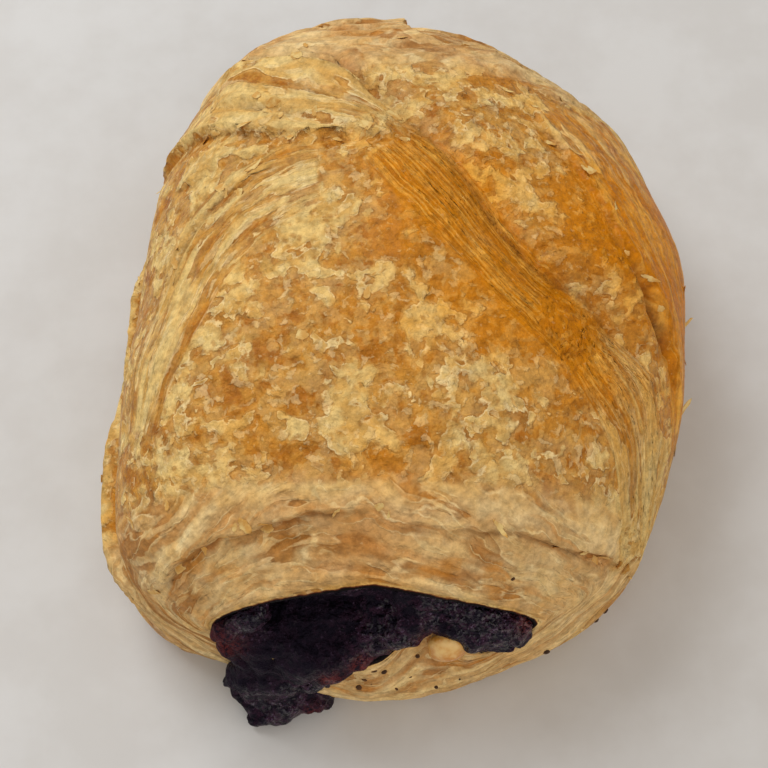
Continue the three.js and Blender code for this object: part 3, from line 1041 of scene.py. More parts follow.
    def _tell(self, weave: Weave, skin: Skin, extra: int) -> None:
        """Store what the material needs in the sheet.

        Args:
            weave: The crust's sheet.
            skin: The worked outside.
            extra: How many rows follow the outside's: the passage's own, then the first one again.
        """
        width = self.columns + 1
        stain = smooth(1.0 - skin.past_rim / self.STAIN_WIDTH)
        named = {
            Field.BAKE: (skin.bake, self.PASSAGE_BAKE),
            Field.CRACK_AND_SHADE: (np.clip(skin.crack_and_shade, 0, 1), 0.0),
            Field.PALE: (np.clip(skin.pale, 0, 1), 0.0),
            Field.END: (skin.end, 1.0),
            Field.STRAND: (skin.strand, 0.0),
            Field.STAIN: (stain, 1.0),
        }
        for name, (values, inside) in named.items():
            rows = np.concatenate([values, np.full(extra * width, inside)])
            rows[-width:] = values[:width]
            tell(weave.piece, name, rows)
        grain = np.concatenate([skin.grain, np.zeros((extra * width, 3))])
        grain[-width:] = skin.grain[:width]
        tell(weave.piece, Field.GRAIN, grain)


# ---- The filling ------------------------------------------------------------------------------------


@dataclass(frozen=True)
class FillingSection:
    """A section across the filling's run, from the loaf's middle at table height."""

    y: float
    x: float
    z: float
    half_width: float
    up: float
    down: float
    lean: float


@dataclass(frozen=True)
class Lobe:
    """A rounded mass of filling, with its half sizes along its own axes and its turn in degrees."""

    centre: Place
    half: Place
    turn: Place = (0.0, 0.0, 0.0)


@dataclass
class Filling:
    """The dark filling: a slab through the roll, heaped at the front and run down to the table."""

    ROUGH_FROM, ROUGH_RAMP = 33, 6
    CRAG_DEPTH, CRAG_WIDTH = 2.4, 0.25

    loaf: Loaf = field(default_factory=Loaf)
    voxel: float = 0.52
    columns: int = 96
    rows: int = 150
    sections: tuple[FillingSection, ...] = (
        FillingSection(56.6, -1.7, 20.6, 9, 2.0, 1.6, 0),
        FillingSection(55.4, -1.7, 20.8, 14.5, 4.6, 3.6, 0),
        FillingSection(44, -1.7, 21, 18.5, 5.3, 4.8, 0),
        FillingSection(8, -1.7, 21, 18.5, 5.3, 4.8, 0),
        FillingSection(-24, -1.7, 21, 18.5, 5, 4.6, 0),
        FillingSection(-33, -1.7, 21.4, 20.2, 8.4, 4.0, 4),
        FillingSection(-36.5, -1.7, 21.2, 20.4, 7.8, 3.6, 14),
        FillingSection(-38.2, -1.7, 20.4, 18.4, 6.0, 3.4, 22),
    )
    lobes: tuple[Lobe, ...] = (
        Lobe((13.2, -43.0, 21.4), (8.0, 3.2, 4.6), (-20, 24, -4)),
        Lobe((-18.6, -43.8, 17.6), (5.6, 3.0, 3.2), (-20, -14, 10)),
        Lobe((-12.0, -45.0, 17.4), (5.4, 2.8, 3.0), (-24, 0, 8)),
        Lobe((-10.2, -47.2, 16.8), (4.2, 2.2, 2.6), (-24, -6, 8)),
        Lobe((-8.0, -39.8, 19.0), (10.0, 4.6, 3.0), (-20, 0, 0)),
        Lobe((5.6, -39.8, 26.4), (7.0, 2.8, 4.0), (-34, 12, -6)),
        Lobe((-7.0, -37.8, 28.6), (9.4, 2.4, 3.0), (-34, -4, 0)),
        Lobe((-19.8, -42.2, 22.4), (4.2, 2.2, 2.4), (-30, -24, 8)),
        Lobe((-22.6, -43.2, 20.2), (2.6, 2.0, 2.8), (-20, 0, 8)),
        Lobe((2.2, -43.2, 21.8), (5.6, 2.8, 3.2), (-28, -28, 20)),
        Lobe((-3.2, -45.2, 18.6), (6.4, 2.6, 3.4), (-24, -32, 26)),
        Lobe((-0.6, -40.6, 22.0), (3.4, 2.0, 2.6), (-30, -10, 0)),
        Lobe((-7.6, -46.8, 15.4), (4.4, 2.3, 3.0), (-24, -30, 20)),
        Lobe((-15.6, -45.0, 14.6), (6.6, 3.0, 4.0), (-16, 0, 6)),
        Lobe((-11.6, -47.0, 13.8), (4.6, 2.4, 3.4), (-18, 10, 4)),
        Lobe((-10.8, -46.8, 11.6), (4.4, 2.6, 4.6), (-12, 14, 4)),
        Lobe((-15.6, -46.8, 9.0), (7.8, 3.4, 5.2), (-8, 4, 4)),
        Lobe((-15.6, -48.6, 3.2), (8.0, 3.4, 3.6), (0, 0, -4)),
        Lobe((-16.8, -50.6, 1.8), (4.6, 2.6, 2.3), (0, 0, 10)),
        Lobe((-9.6, -47.2, 4.6), (3.2, 2.4, 4.2), (0, 12, 0)),
        Lobe((-21.6, -46.4, 6.4), (2.4, 2.6, 4.8), (0, -10, 0)),
        Lobe((-23.8, -47.2, 6.2), (1.3, 1.1, 1.2), (0, 20, 0)),
        Lobe((-6.6, -48.6, 5.6), (1.6, 1.0, 1.2), (0, -20, 0)),
    )
    thin_places: tuple[tuple[Place, float], ...] = (
        ((-23.2, -44.0, 18.8), 2.8), ((-8.0, -49.0, 15.0), 1.8), ((-3.4, -47.6, 17.2), 2.0),
        ((1.8, -46.2, 18.8), 1.8), ((4.6, -44.4, 21.0), 1.6), ((19.6, -42.6, 22.0), 2.0),
        ((-11.0, -50.0, 3.0), 1.6),
    )
    # Where the filling is glossy, and where its colour holds painted sheen and sparkles.
    gloss_and_sheen_places: tuple[tuple[Place, float], ...] = (
        ((0.0, -44.5, 21.5), 5.0), ((6.0, -41.5, 25.0), 4.0), ((14.0, -43.5, 22.0), 6.5),
        ((-20.0, -42.0, 24.5), 4.0), ((-15.0, -51.0, 5.0), 5.0), ((-10.0, -49.5, 10.0), 5.0),
        ((-19.0, -49.0, 6.0), 3.5), ((-4.0, -37.5, 30.5), 4.5), ((-10.0, -38.0, 29.5), 3.0),
    )

    def _slab(self) -> bpy.types.Object:
        """Run the slab through the roll and close it at both ends.

        Returns:
            The slab.
        """
        knots = np.array([[s.y, s.x, s.z, s.half_width, s.up, s.down, s.lean] for s in self.sections])
        run = spline(knots, np.linspace(0, len(knots) - 1, self.rows - 1))
        turn = np.linspace(0, 2 * math.pi, self.columns + 1)
        rows = []
        for y, x, z, half_width, up, down, lean in run:
            way = np.stack([half_width * np.cos(turn), up * np.sin(turn)], 1)
            way /= lengths(way)[:, None]
            across = way * Hole(half_width, up, down).reach(way[:, 0], way[:, 1])[:, None]
            slope = math.radians(lean)
            back, up_by = across[:, 1] * math.sin(slope), across[:, 1] * math.cos(slope)
            rows.append(np.stack([x + across[:, 0], y - back, z + up_by], 1))
        ends = [np.broadcast_to(row.mean(0), row.shape) for row in (rows[0], rows[-1])]
        sheet = np.stack([ends[0], *rows, ends[1]]).reshape(-1, 3)
        weave = Weave("filling", self.columns, self.rows)
        weave.lay(self.loaf.place(sheet))
        return weave.close()

    def _lobe(self, lobe: Lobe) -> bpy.types.Object:
        """Model one lobe at its place.

        Args:
            lobe: Its place, half sizes and turn.

        Returns:
            The lobe's own piece.
        """
        centre = Vector(self.loaf.place([lobe.centre])[0]) * MM
        bpy.ops.object.select_all(action="DESELECT")
        bpy.ops.mesh.primitive_ico_sphere_add(
            subdivisions=4, radius=1.0, location=centre, rotation=[math.radians(turn) for turn in lobe.turn]
        )
        made = bpy.context.object
        made.scale = [half * MM for half in lobe.half]
        bpy.ops.object.transform_apply(location=True, rotation=True, scale=True)
        return made

    def build(self, material: bpy.types.Material) -> bpy.types.Object:
        """Heap the lobes on the slab, run them together and roughen the whole.

        Args:
            material: The filling's finish.

        Returns:
            The closed filling.
        """
        lobes = [self._lobe(lobe) for lobe in self.lobes]
        piece = self._slab()
        for made in (*lobes, piece):
            made.select_set(True)
        bpy.context.view_layer.objects.active = piece
        bpy.ops.object.join()
        melt = piece.modifiers.new("run together", "REMESH")
        melt.mode = "VOXEL"
        melt.voxel_size = self.voxel * MM
        bpy.ops.object.modifier_apply(modifier=melt.name)
        ease = piece.modifiers.new("ease", "SMOOTH")
        ease.iterations = 6
        bpy.ops.object.modifier_apply(modifier=ease.name)
        self._roughen(piece)
        bpy.ops.object.shade_smooth()
        piece.select_set(False)
        dress(piece, material)
        settle(piece, Slot.FILLING, Node.FILLING)
        return piece

    def _roughen(self, piece: bpy.types.Object) -> None:
        """Push the filling's surface into lumps and crags, and rest it on the table.

        Args:
            piece: The filling, melted into one.
        """
        points, normals = (read_mesh(piece, name) for name in ("co", "normal"))
        points = points / MM
        depth_along = np.abs(points[:, 1] - self.loaf.core[1])
        outside = smooth((depth_along - self.ROUGH_FROM) / self.ROUGH_RAMP)
        lumps = 0.8 * Noise(5.0, 201, 2).at(points) + 0.55 * Noise(1.9, 202, 2).at(points)
        crags = np.abs(Noise(3.4, 203, 2).at(points))
        cut = self.CRAG_DEPTH * (self.CRAG_WIDTH - crags).clip(0)
        points = points + normals * (outside * (lumps - cut))[:, None]
        points[:, 2] = np.maximum(points[:, 2], 0.0)
        piece.data.vertices.foreach_set("co", (points * MM).astype(np.float32).ravel())
        piece.data.update()
        for name, places in ((Field.THIN, self.thin_places), (Field.GLOSS_AND_SHEEN, self.gloss_and_sheen_places)):
            near = [bell(lengths(points - self.loaf.place([place])), reach) for place, reach in places]
            tell(piece, name, np.max(near, axis=0))


def read_mesh(piece: bpy.types.Object, name: str) -> Array:
    """Read one vector from each vertex of a piece.

    Args:
        piece: The piece.
        name: The vector's name in Blender, such as co or normal.

    Returns:
        One row for each vertex.
    """
    flat = np.empty(len(piece.data.vertices) * 3, np.float32)
    piece.data.vertices.foreach_get(name, flat)
    return flat.reshape(-1, 3).astype(float)


# ---- What lies loose on the crust -------------------------------------------------------------------


@dataclass(frozen=True)
class Bit:
    """One loose bit: the place it lies at, its length, and its turn and tilt in degrees."""

    at: Place
    size: float
    turn: float = 0.0
    tilt: float = 0.0


@dataclass(frozen=True)
class BitRow:
    """Loose bits strewn beside a line of places."""

    points: tuple[Place, ...]
    count: int
    spread: float
    sizes: tuple[float, float] = (1.6, 4.0)
    tilt: float = 9.0

    def strew(self, loaf: Loaf, dice: np.random.Generator) -> list[Bit]:
        """Return the row's bits, turned roughly along the line.

        Args:
            loaf: The loaf that they lie on.
            dice: Where their differences come from.

        Returns:
            The bits, at places from the loaf's middle.
        """
        run = LoafLine(loaf, self.points).run - loaf.place([(0.0, 0.0, 0.0)])
        bits = []
        for share in dice.uniform(0.02, 0.98, self.count):
            i = int(share * (len(run) - 1))
            way = run[i + 1] - run[i]
            spot = run[i] + dice.normal(0.0, self.spread, 3)
            turn = math.degrees(math.atan2(way[1], way[0])) + dice.normal(0.0, 24.0)
            bits.append(Bit(tuple(spot), dice.uniform(*self.sizes), turn, dice.normal(0.0, self.tilt)))
        return bits


@dataclass(frozen=True)
class BitShape:
    """The form of a loose bit one millimetre long."""

    broad: float
    thick: float
    torn: float
    curl: float
    seed: int

    def model(self) -> bpy.types.Object:
        """Model the bit, lying flat at the origin.

        Returns:
            Its piece.
        """
        bpy.ops.object.select_all(action="DESELECT")
        bpy.ops.mesh.primitive_uv_sphere_add(segments=26, ring_count=10, radius=0.5)
        made = bpy.context.object
        points = read_mesh(made, "co")
        bearing = np.arctan2(points[:, 1], points[:, 0])
        ring = np.stack([np.cos(bearing), np.sin(bearing), points[:, 2]], 1)
        ragged = 1 + self.torn * Noise(0.7, self.seed, 3, 0.6).at(ring)
        points[:, :2] *= ragged[:, None]
        points *= np.array([1.0, self.broad, self.thick])
        points[:, 2] += self.curl * points[:, 0] ** 2 + 0.6 * self.curl * points[:, 1] * np.abs(points[:, 0])
        made.data.vertices.foreach_set("co", points.astype(np.float32).ravel())
        bpy.ops.object.shade_smooth()
        return made


@dataclass
class LooseBits:
    """Loose bits of one kind: a few shapes modelled once, copied to their places and joined."""

    RAY_FROM, RAY_REACH = 9.0, 0.02

    name: str
    shapes: tuple[BitShape, ...]
    rows: tuple[BitRow, ...] = ()
    bits: tuple[Bit, ...] = ()
    sunk: float = 0.0
    seed: int = 5
    loaf: Loaf = field(default_factory=Loaf)

    def build(self, ground: bpy.types.Object, slot: Slot, material: bpy.types.Material) -> bpy.types.Object:
        """Lay every bit on its ground and dress the whole.

        Args:
            ground: The piece that the bits lie on.
            slot: The slot that the bits belong to.
            material: The bits' finish.

        Returns:
            The bits, as one piece.
        """
        dice = np.random.default_rng(self.seed)
        strewn = [bit for row in self.rows for bit in row.strew(self.loaf, dice)]
        models = [shape.model() for shape in self.shapes]
        bits = [*self.bits, *strewn]
        tries = [self._lay(ground, bit, models[i % len(models)]) for i, bit in enumerate(bits)]
        laid = [piece for piece in tries if piece]
        for model in models:
            bpy.data.objects.remove(model)
        bpy.ops.object.select_all(action="DESELECT")
        for bit in laid:
            bit.select_set(True)
        bpy.context.view_layer.objects.active = laid[0]
        bpy.ops.object.join()
        piece = bpy.context.object
        piece.name = piece.data.name = self.name
        piece.select_set(False)
        dress(piece, material)
        settle(piece, slot)
        return piece

    def _lay(self, ground: bpy.types.Object, bit: Bit, model: bpy.types.Object) -> bpy.types.Object | None:
        """Lay a copy of the model on the ground at the bit's place.

        Args:
            ground: The piece that the bit lies on.
            bit: Its place, size and turn.
            model: The shape to copy.

        Returns:
            The copy, or None where the ray towards the loaf meets no ground.
        """
        spot = self.loaf.place([bit.at])
        way = self.loaf.normals(spot)[0]
        start = Vector((spot[0] + self.RAY_FROM * way) * MM)
        met, place, up, _ = ground.ray_cast(start, Vector(-way), distance=self.RAY_REACH)
        if not met:
            return None
        turned = up.to_track_quat("Z", "X").to_matrix().to_4x4()
        tilt = Matrix.Rotation(math.radians(bit.tilt), 4, "Y")
        turned @= Matrix.Rotation(math.radians(bit.turn), 4, "Z") @ tilt
        copy = model.copy()
        copy.data = model.data.copy()
        bpy.context.scene.collection.objects.link(copy)
        place = place - up * (self.sunk * bit.size * MM)
        copy.data.transform(Matrix.Translation(place) @ turned @ Matrix.Scale(bit.size * MM, 4))
        return copy


def loose_flakes() -> LooseBits:
    """List the torn scraps of film that stand up from the crust.

    Returns:
        The scraps, ready to build.
    """
    return LooseBits(
        "loose_flakes",
        shapes=(
            BitShape(0.5, 0.035, 0.7, 0.24, 11),
            BitShape(0.32, 0.035, 0.8, 0.36, 23),
            BitShape(0.66, 0.03, 0.75, 0.18, 37),
        ),
        rows=(
            BitRow(
                ((-36, 29, 20), (-31, 30, 31), (-20, 25, 42), (-8, 22, 46), (3, 21, 46)),
                12, 0.6, (1.2, 3.0),
            ),
            BitRow(((-26, 33, 37), (-18, 29, 42), (-9, 24, 45), (-2, 21, 46)), 9, 0.6, (1.2, 2.8)),
            BitRow(((1, 27, 45), (-8, 36, 42), (-16, 40, 40), (-26, 39, 33)), 9, 0.7, (1.2, 2.8)),
            BitRow(((20, 35, 40), (26, 27, 41), (31, 17, 40), (35, 7, 38), (41, -4, 30)), 8, 0.9, (1.2, 2.6)),
            BitRow(((-34, -39, 20), (-25, -36, 33), (-13, -34, 39), (2, -33, 41)), 10, 0.7, (1.2, 2.8)),
            BitRow(((-4, -34, 40), (15, -35, 37), (30, -35, 27), (36, -33, 14)), 10, 0.7, (1.2, 2.8)),
            BitRow(((-33, 2, 35), (-29, 10, 38), (-25, 14, 41), (-19, 17, 44)), 8, 2.0, (1.2, 2.6)),
            BitRow(
                ((-34, -28, 32), (-24, -18, 42), (-8, -8, 46), (10, -14, 46), (24, -22, 40)),
                14, 5.0, (0.8, 2.0),
            ),
            BitRow(((-24, 40, 33), (-6, 46, 38), (14, 44, 38), (28, 36, 34)), 10, 3.0, (1.0, 2.4)),
            BitRow(((45, 22, 22), (47, 6, 20), (47, -8, 16), (44, -22, 12)), 6, 2.4, (1.2, 2.8)),
            BitRow(((-42, 20, 16), (-42, -5, 18), (-41, -25, 16)), 6, 2.4, (1.2, 2.8)),
        ),
        bits=(
            Bit((45.5, -8, 17), 4.6, 95, 24),
            Bit((46, 4, 22), 3.4, 80, 16),
            Bit((46.5, 0, 20), 3.8, 100, -14),
        ),
        sunk=-0.02,
    )


def dark_crumbs() -> LooseBits:
    """List the crumbs of filling on the lower lip and the burnt ones at the base.

    Returns:
        The crumbs, ready to build.
    """
    return LooseBits(
        "dark_crumbs",
        shapes=(BitShape(0.85, 0.6, 0.45, 0.0, 51), BitShape(0.7, 0.55, 0.5, 0.0, 63)),
        bits=(
            Bit((-4.0, -49, 11.5), 1.2, 20), Bit((-1.8, -47.6, 15.4), 0.9, 80),
            Bit((-0.4, -47.6, 14.2), 1.0, 130), Bit((2.9, -48.6, 8.2), 0.9, 40),
            Bit((4.4, -46, 15.5), 0.9, 10), Bit((-3.2, -48.4, 13.4), 0.8, 70),
            Bit((3.4, -47.6, 11.5), 0.6, 30), Bit((1.4, -48.8, 9.4), 0.7, 30),
            Bit((7.2, -48.4, 8.4), 0.8, 30), Bit((-2.2, -48.2, 12.2), 0.5, 0),
            Bit((17, -39.5, 31), 0.8, 0), Bit((10.5, -47.4, 10), 0.5, 0),
            Bit((23.6, -43, 8), 1.4, 30), Bit((31.4, -37.5, 6.2), 1.5, 10),
            Bit((32.8, -36.5, 7.2), 1.3, 60),
        ),
        sunk=0.1,
    )


@dataclass
class Bubble:
    """The glazed bubble of dough that stands in the front mouth's lower lip."""

    centre: Place = (8.4, -45.7, 19.6)
    half: Place = (3.0, 1.9, 3.0)
    turn: float = -24.0
    loaf: Loaf = field(default_factory=Loaf)

    def build(self, material: bpy.types.Material) -> bpy.types.Object:
        """Blow the bubble, turn it to its place and dress it.

        Args:
            material: The bubble's finish.

        Returns:
            The closed bubble.
        """
        bpy.ops.object.select_all(action="DESELECT")
        bpy.ops.mesh.primitive_uv_sphere_add(segments=48, ring_count=28, radius=1.0)
        piece = bpy.context.object
        piece.name = piece.data.name = "bubble"
        points = read_mesh(piece, "co")
        points = points * (1 + 0.22 * Noise(1.2, 81, 2).at(points))[:, None] * np.array(self.half)
        turned = Matrix.Rotation(math.radians(self.turn), 3, "Y")
        points = points @ np.array(turned).T + self.loaf.place([self.centre])[0]
        piece.data.vertices.foreach_set("co", (points * MM).astype(np.float32).ravel())
        bpy.ops.object.shade_smooth()
        piece.select_set(False)
        dress(piece, material)
        settle(piece, Slot.CRUST)
        return piece


# ---- Finishes ---------------------------------------------------------------------------------------

Colour = tuple[int, int, int]
Socket = bpy.types.NodeSocket
Value = Socket | float | tuple[float, ...] | None
Sockets = dict[str, Socket]


def linear(colour: Colour) -> tuple[float, float, float, float]:
    """Return a colour given in steps of 0 to 255 as the shader wants it."""
    shares = [step / 255 for step in colour]
    return (*(c / 12.92 if c <= 0.04045 else ((c + 0.055) / 1.055) ** 2.4 for c in shares), 1.0)


class Graph:
    """Wires a shader's nodes."""

    def __init__(self, tree: bpy.types.NodeTree) -> None:
        """Work on the given tree."""
        self.tree = tree

    def node(self, kind: str, **settings: object) -> bpy.types.Node:
        """Add a node.

        Args:
            kind: Its type in Blender.
            settings: Its settings, by name.

        Returns:
            The node.
        """
        made = self.tree.nodes.new(kind)
        for name, value in settings.items():
            setattr(made, name, value)
        return made

    def feed(self, socket: Socket, value: Value) -> None:
        """Feed a socket.

        Args:
            socket: The socket.
            value: Another socket to link to it, a plain value to set, or None to leave it alone.
        """
        if isinstance(value, bpy.types.NodeSocket):
            self.tree.links.new(value, socket)
        elif value is not None:
            socket.default_value = value

    def sum(self, operation: str, *values: Value) -> Socket:
        """Work out a sum.

        Args:
            operation: Its name in Blender.
            values: What goes into it, in order.

        Returns:
            The result.
        """
        made = self.node("ShaderNodeMath", operation=operation)
        for socket, value in zip(made.inputs, values):
            self.feed(socket, value)
        return made.outputs[0]

    def vectors(self, operation: str, *values: Value) -> Socket:
        """Work out a sum of vectors.

        Args:
            operation: Its name in Blender.
            values: What goes into it, in order.

        Returns:
            The resulting vector.
        """
        made = self.node("ShaderNodeVectorMath", operation=operation)
        for socket, value in zip(made.inputs, values):
            self.feed(socket, value)
        return made.outputs[0]

    def times(self, vector: Socket, factor: float) -> Socket:
        """Make a vector longer.

        Args:
            vector: The vector.
            factor: How many times longer.

        Returns:
            The longer vector.
        """
        made = self.node("ShaderNodeVectorMath", operation="SCALE")
        self.feed(made.inputs[0], vector)
        self.feed(made.inputs[3], factor)
        return made.outputs[0]

    def noise(
        self, place: Socket, size: Value, detail: float = 2.0, rough: float = 0.5, colour: bool = False
    ) -> Socket:
        """Make noise.

        Args:
            place: Where to read it.
            size: How far apart its bumps are.
            detail: How many finer octaves it has.
            rough: How strong each octave is beside the last.
            colour: Whether three separate noises are wanted, as a vector.

        Returns:
            The noise, round 0.5.
        """
        made = self.node("ShaderNodeTexNoise")
        self.feed(made.inputs["Vector"], place)
        fineness = 1.0 / size if isinstance(size, float) else self.sum("DIVIDE", 1.0, size)
        self.feed(made.inputs["Scale"], fineness)
        made.inputs["Detail"].default_value = detail
        made.inputs["Roughness"].default_value = rough
        return made.outputs["Color" if colour else "Fac"]

    def cells(self, place: Socket, size: float) -> Socket:
        """Make a pattern of cells.

        Args:
            place: Where to read it.
            size: How far apart the cells' centres are.

        Returns:
            The distance from the nearest centre, in cells.
        """
        made = self.node("ShaderNodeTexVoronoi")
        self.feed(made.inputs["Vector"], place)
        made.inputs["Scale"].default_value = 1.0 / size
        return made.outputs["Distance"]

    def range(self, value: Socket, low: Value, high: Value, start: float = 0.0, end: float = 1.0) -> Socket:
        """Ease a value from one range into another.

        Args:
            value: The value.
            low: Where it gives start.
            high: Where it gives end, which may lie below low.
            start: The result at low and before it.
            end: The result at high and past it.

        Returns:
            The eased value.
        """
        made = self.node("ShaderNodeMapRange", interpolation_type="SMOOTHSTEP")
        for socket, given in zip(made.inputs, (value, low, high, start, end)):
            self.feed(socket, given)
        return made.outputs[0]

    def blend(self, share: Value, one: Value, two: Value, way: str = "MIX") -> Socket:
        """Blend two colours.

        Args:
            share: How much of the second there is.
            one: The first colour.
            two: The second colour.
            way: How they blend, by its name in Blender.

        Returns:
            The blended colour.
        """
        made = self.node("ShaderNodeMix", data_type="RGBA", blend_type=way)
        for at, given in ((0, share), (6, one), (7, two)):
            self.feed(made.inputs[at], given)
        return made.outputs[2]

    def told(self, name: Field, vector: bool = False) -> Socket:
        """Return what the mesh tells its material under a name."""
        made = self.node("ShaderNodeAttribute", attribute_name=name.value)
        return made.outputs["Vector" if vector else "Fac"]

    def millimetres(self) -> Socket:
        """Return the place on the object, in millimetres."""
        return self.times(self.node("ShaderNodeTexCoord").outputs["Object"], 1.0 / MM)

    def bump(self, height: Socket, distance: float, normal: Value = None) -> Socket:
        """Raise a surface in its shading.

        Args:
            height: How high it is, from 0 to 1.
            distance: What a height of 1 stands for, in millimetres.
            normal: The normal underneath, if it is already raised.

        Returns:
            The raised surface's normal.
        """
        made = self.node("ShaderNodeBump")
        made.inputs["Distance"].default_value = distance * MM
        self.feed(made.inputs["Height"], height)
        self.feed(made.inputs["Normal"], normal)
        return made.outputs[0]


@dataclass(frozen=True)
class Finish:
    """A material being made: its nodes and the shader that they feed."""

    material: bpy.types.Material
    graph: Graph
    shader: bpy.types.Node

    def feed(self, **values: Value) -> None:
        """Feed the shader's sockets by name, with an underscore for each space in a name."""
        for name, value in values.items():
            self.graph.feed(self.shader.inputs[name.replace("_", " ")], value)


def begin_finish(name: str) -> Finish:
    """Start a material with its name and its shader."""
    material = bpy.data.materials.new(name)
    material.use_nodes = True
    return Finish(material, Graph(material.node_tree), material.node_tree.nodes["Principled BSDF"])


@dataclass(frozen=True)
class Effect:
    """A shader group's outside: its name and what goes in and comes out."""

    name: str
    takes: tuple[tuple[str, str, float | None], ...]
    gives: tuple[str, ...]

    def begin(self) -> tuple[Graph, Sockets, bpy.types.Node]:
        """Make the group.

        Returns:
            The graph to wire inside it, the sockets that come in by name, and its output node.
        """
        tree = bpy.data.node_groups.new(self.name, "ShaderNodeTree")
        for name, kind, value in self.takes:
            socket = tree.interface.new_socket(name, in_out="INPUT", socket_type=kind)
            if value is not None:
                socket.default_value = value
        for name in self.gives:
            tree.interface.new_socket(name, in_out="OUTPUT", socket_type="NodeSocketFloat")
        graph = Graph(tree)
        came = graph.node("NodeGroupInput")
        return graph, {name: came.outputs[name] for name, _, _ in self.takes}, graph.node("NodeGroupOutput")


def place_effect(graph: Graph, tree: bpy.types.NodeTree, **values: Value) -> Sockets:
    """Put an effect in a material.

    Args:
        graph: The material's nodes.
        tree: The effect's group.
        values: What goes into it here, by name.

    Returns:
        What the effect gives, by name.
    """
    made = graph.node("ShaderNodeGroup", node_tree=tree)
    for name, value in values.items():
        graph.feed(made.inputs[name], value)
    return {socket.name: socket for socket in made.outputs}


FLOAT, VECTOR = "NodeSocketFloat", "NodeSocketVector"
HALF = (0.5, 0.5, 0.5)


def flaked_film() -> bpy.types.NodeTree:
    """Make the effect of thin pale film, torn into overlapping islands, over glazed dough, with a painted
    highlight along the islands' lifted edges and painted shade just outside them.

    Returns:
        The effect's group.
    """
    effect = Effect(
        "flaked_film",
        (("Place", VECTOR, None), ("Cover", FLOAT, 0.5), ("Size", FLOAT, 5.0)),
        ("Film", "Thick", "Lip_Highlight", "Veil", "Fleck", "Pit", "Rim_Shade", "Tone", "Height"),
    )
    graph, given, out = effect.begin()
    broad = graph.vectors("SUBTRACT", graph.noise(given["Place"], 6.5, 2.0, 0.5, colour=True), HALF)
    ragged = graph.vectors("SUBTRACT", graph.noise(given["Place"], 1.6, 3.0, 0.62, colour=True), HALF)
    torn = graph.vectors("ADD", given["Place"], graph.times(broad, 3.4))
    torn = graph.vectors("ADD", torn, graph.times(ragged, 1.5))
    isles = graph.noise(torn, given["Size"], 1.0, 0.5)
    close = graph.noise(torn, 2.3, 1.5, 0.5)
    heap = graph.sum("ADD", graph.sum("MULTIPLY", isles, 0.56), graph.sum("MULTIPLY", close, 0.44))
    level = graph.sum("MULTIPLY_ADD", given["Cover"], -0.34, 0.67)
    past = graph.sum("SUBTRACT", heap, level)
    film = graph.range(past, -0.006, 0.01)
    thick = graph.range(past, 0.0, 0.075)
    lifted = graph.range(graph.noise(given["Place"], 2.2, 2.0), 0.44, 0.6)
    # Painted highlight along the lifted edge inside each island.
    lip_highlight = graph.sum("MULTIPLY", film, graph.sum("MULTIPLY", graph.range(past, 0.036, 0.012), lifted))
    other = graph.noise(graph.vectors("ADD", torn, (37.0, 11.0, 5.0)), 3.4, 2.0, 0.55)
    second = graph.range(graph.sum("SUBTRACT", other, level), -0.035, 0.015)
    veil = graph.sum("MAXIMUM", second, graph.range(past, -0.07, -0.03))
    scraps = graph.noise(graph.vectors("ADD", torn, (5.0, 61.0, 17.0)), 1.5, 2.0, 0.5)
    fleck = graph.range(scraps, 0.57, 0.64)
    holes = graph.cells(graph.vectors("ADD", torn, (3.0, 21.0, 9.0)), 1.6)
    sparse = graph.range(graph.noise(given["Place"], 4.0, 1.0), 0.46, 0.54)
    pit = graph.sum("MULTIPLY", graph.range(holes, 0.4, 0.12), sparse)
    # Painted shade just outside the lifted edges, where parts of them are kept.
    near = graph.range(past, -0.05, -0.004)
    rim = graph.sum("MULTIPLY", graph.sum("MULTIPLY", near, graph.sum("SUBTRACT", 1.0, film)), lifted)
    fine = graph.noise(given["Place"], 1.1, 3.0, 0.6)
    step = graph.range(past, -0.04, 0.04)
    height = graph.sum("ADD", graph.sum("MULTIPLY", step, 0.5), graph.sum("MULTIPLY", fleck, 0.25))
    height = graph.sum("ADD", height, graph.sum("MULTIPLY_ADD", fine, 1.5, graph.sum("MULTIPLY", pit, -0.3)))
    given_out = (
        ("Film", film), ("Thick", thick), ("Lip_Highlight", lip_highlight), ("Veil", veil), ("Fleck", fleck),
        ("Pit", pit), ("Rim_Shade", rim), ("Tone", other), ("Height", height),
    )
    for name, value in given_out:
        graph.feed(out.inputs[name], value)
    return graph.tree


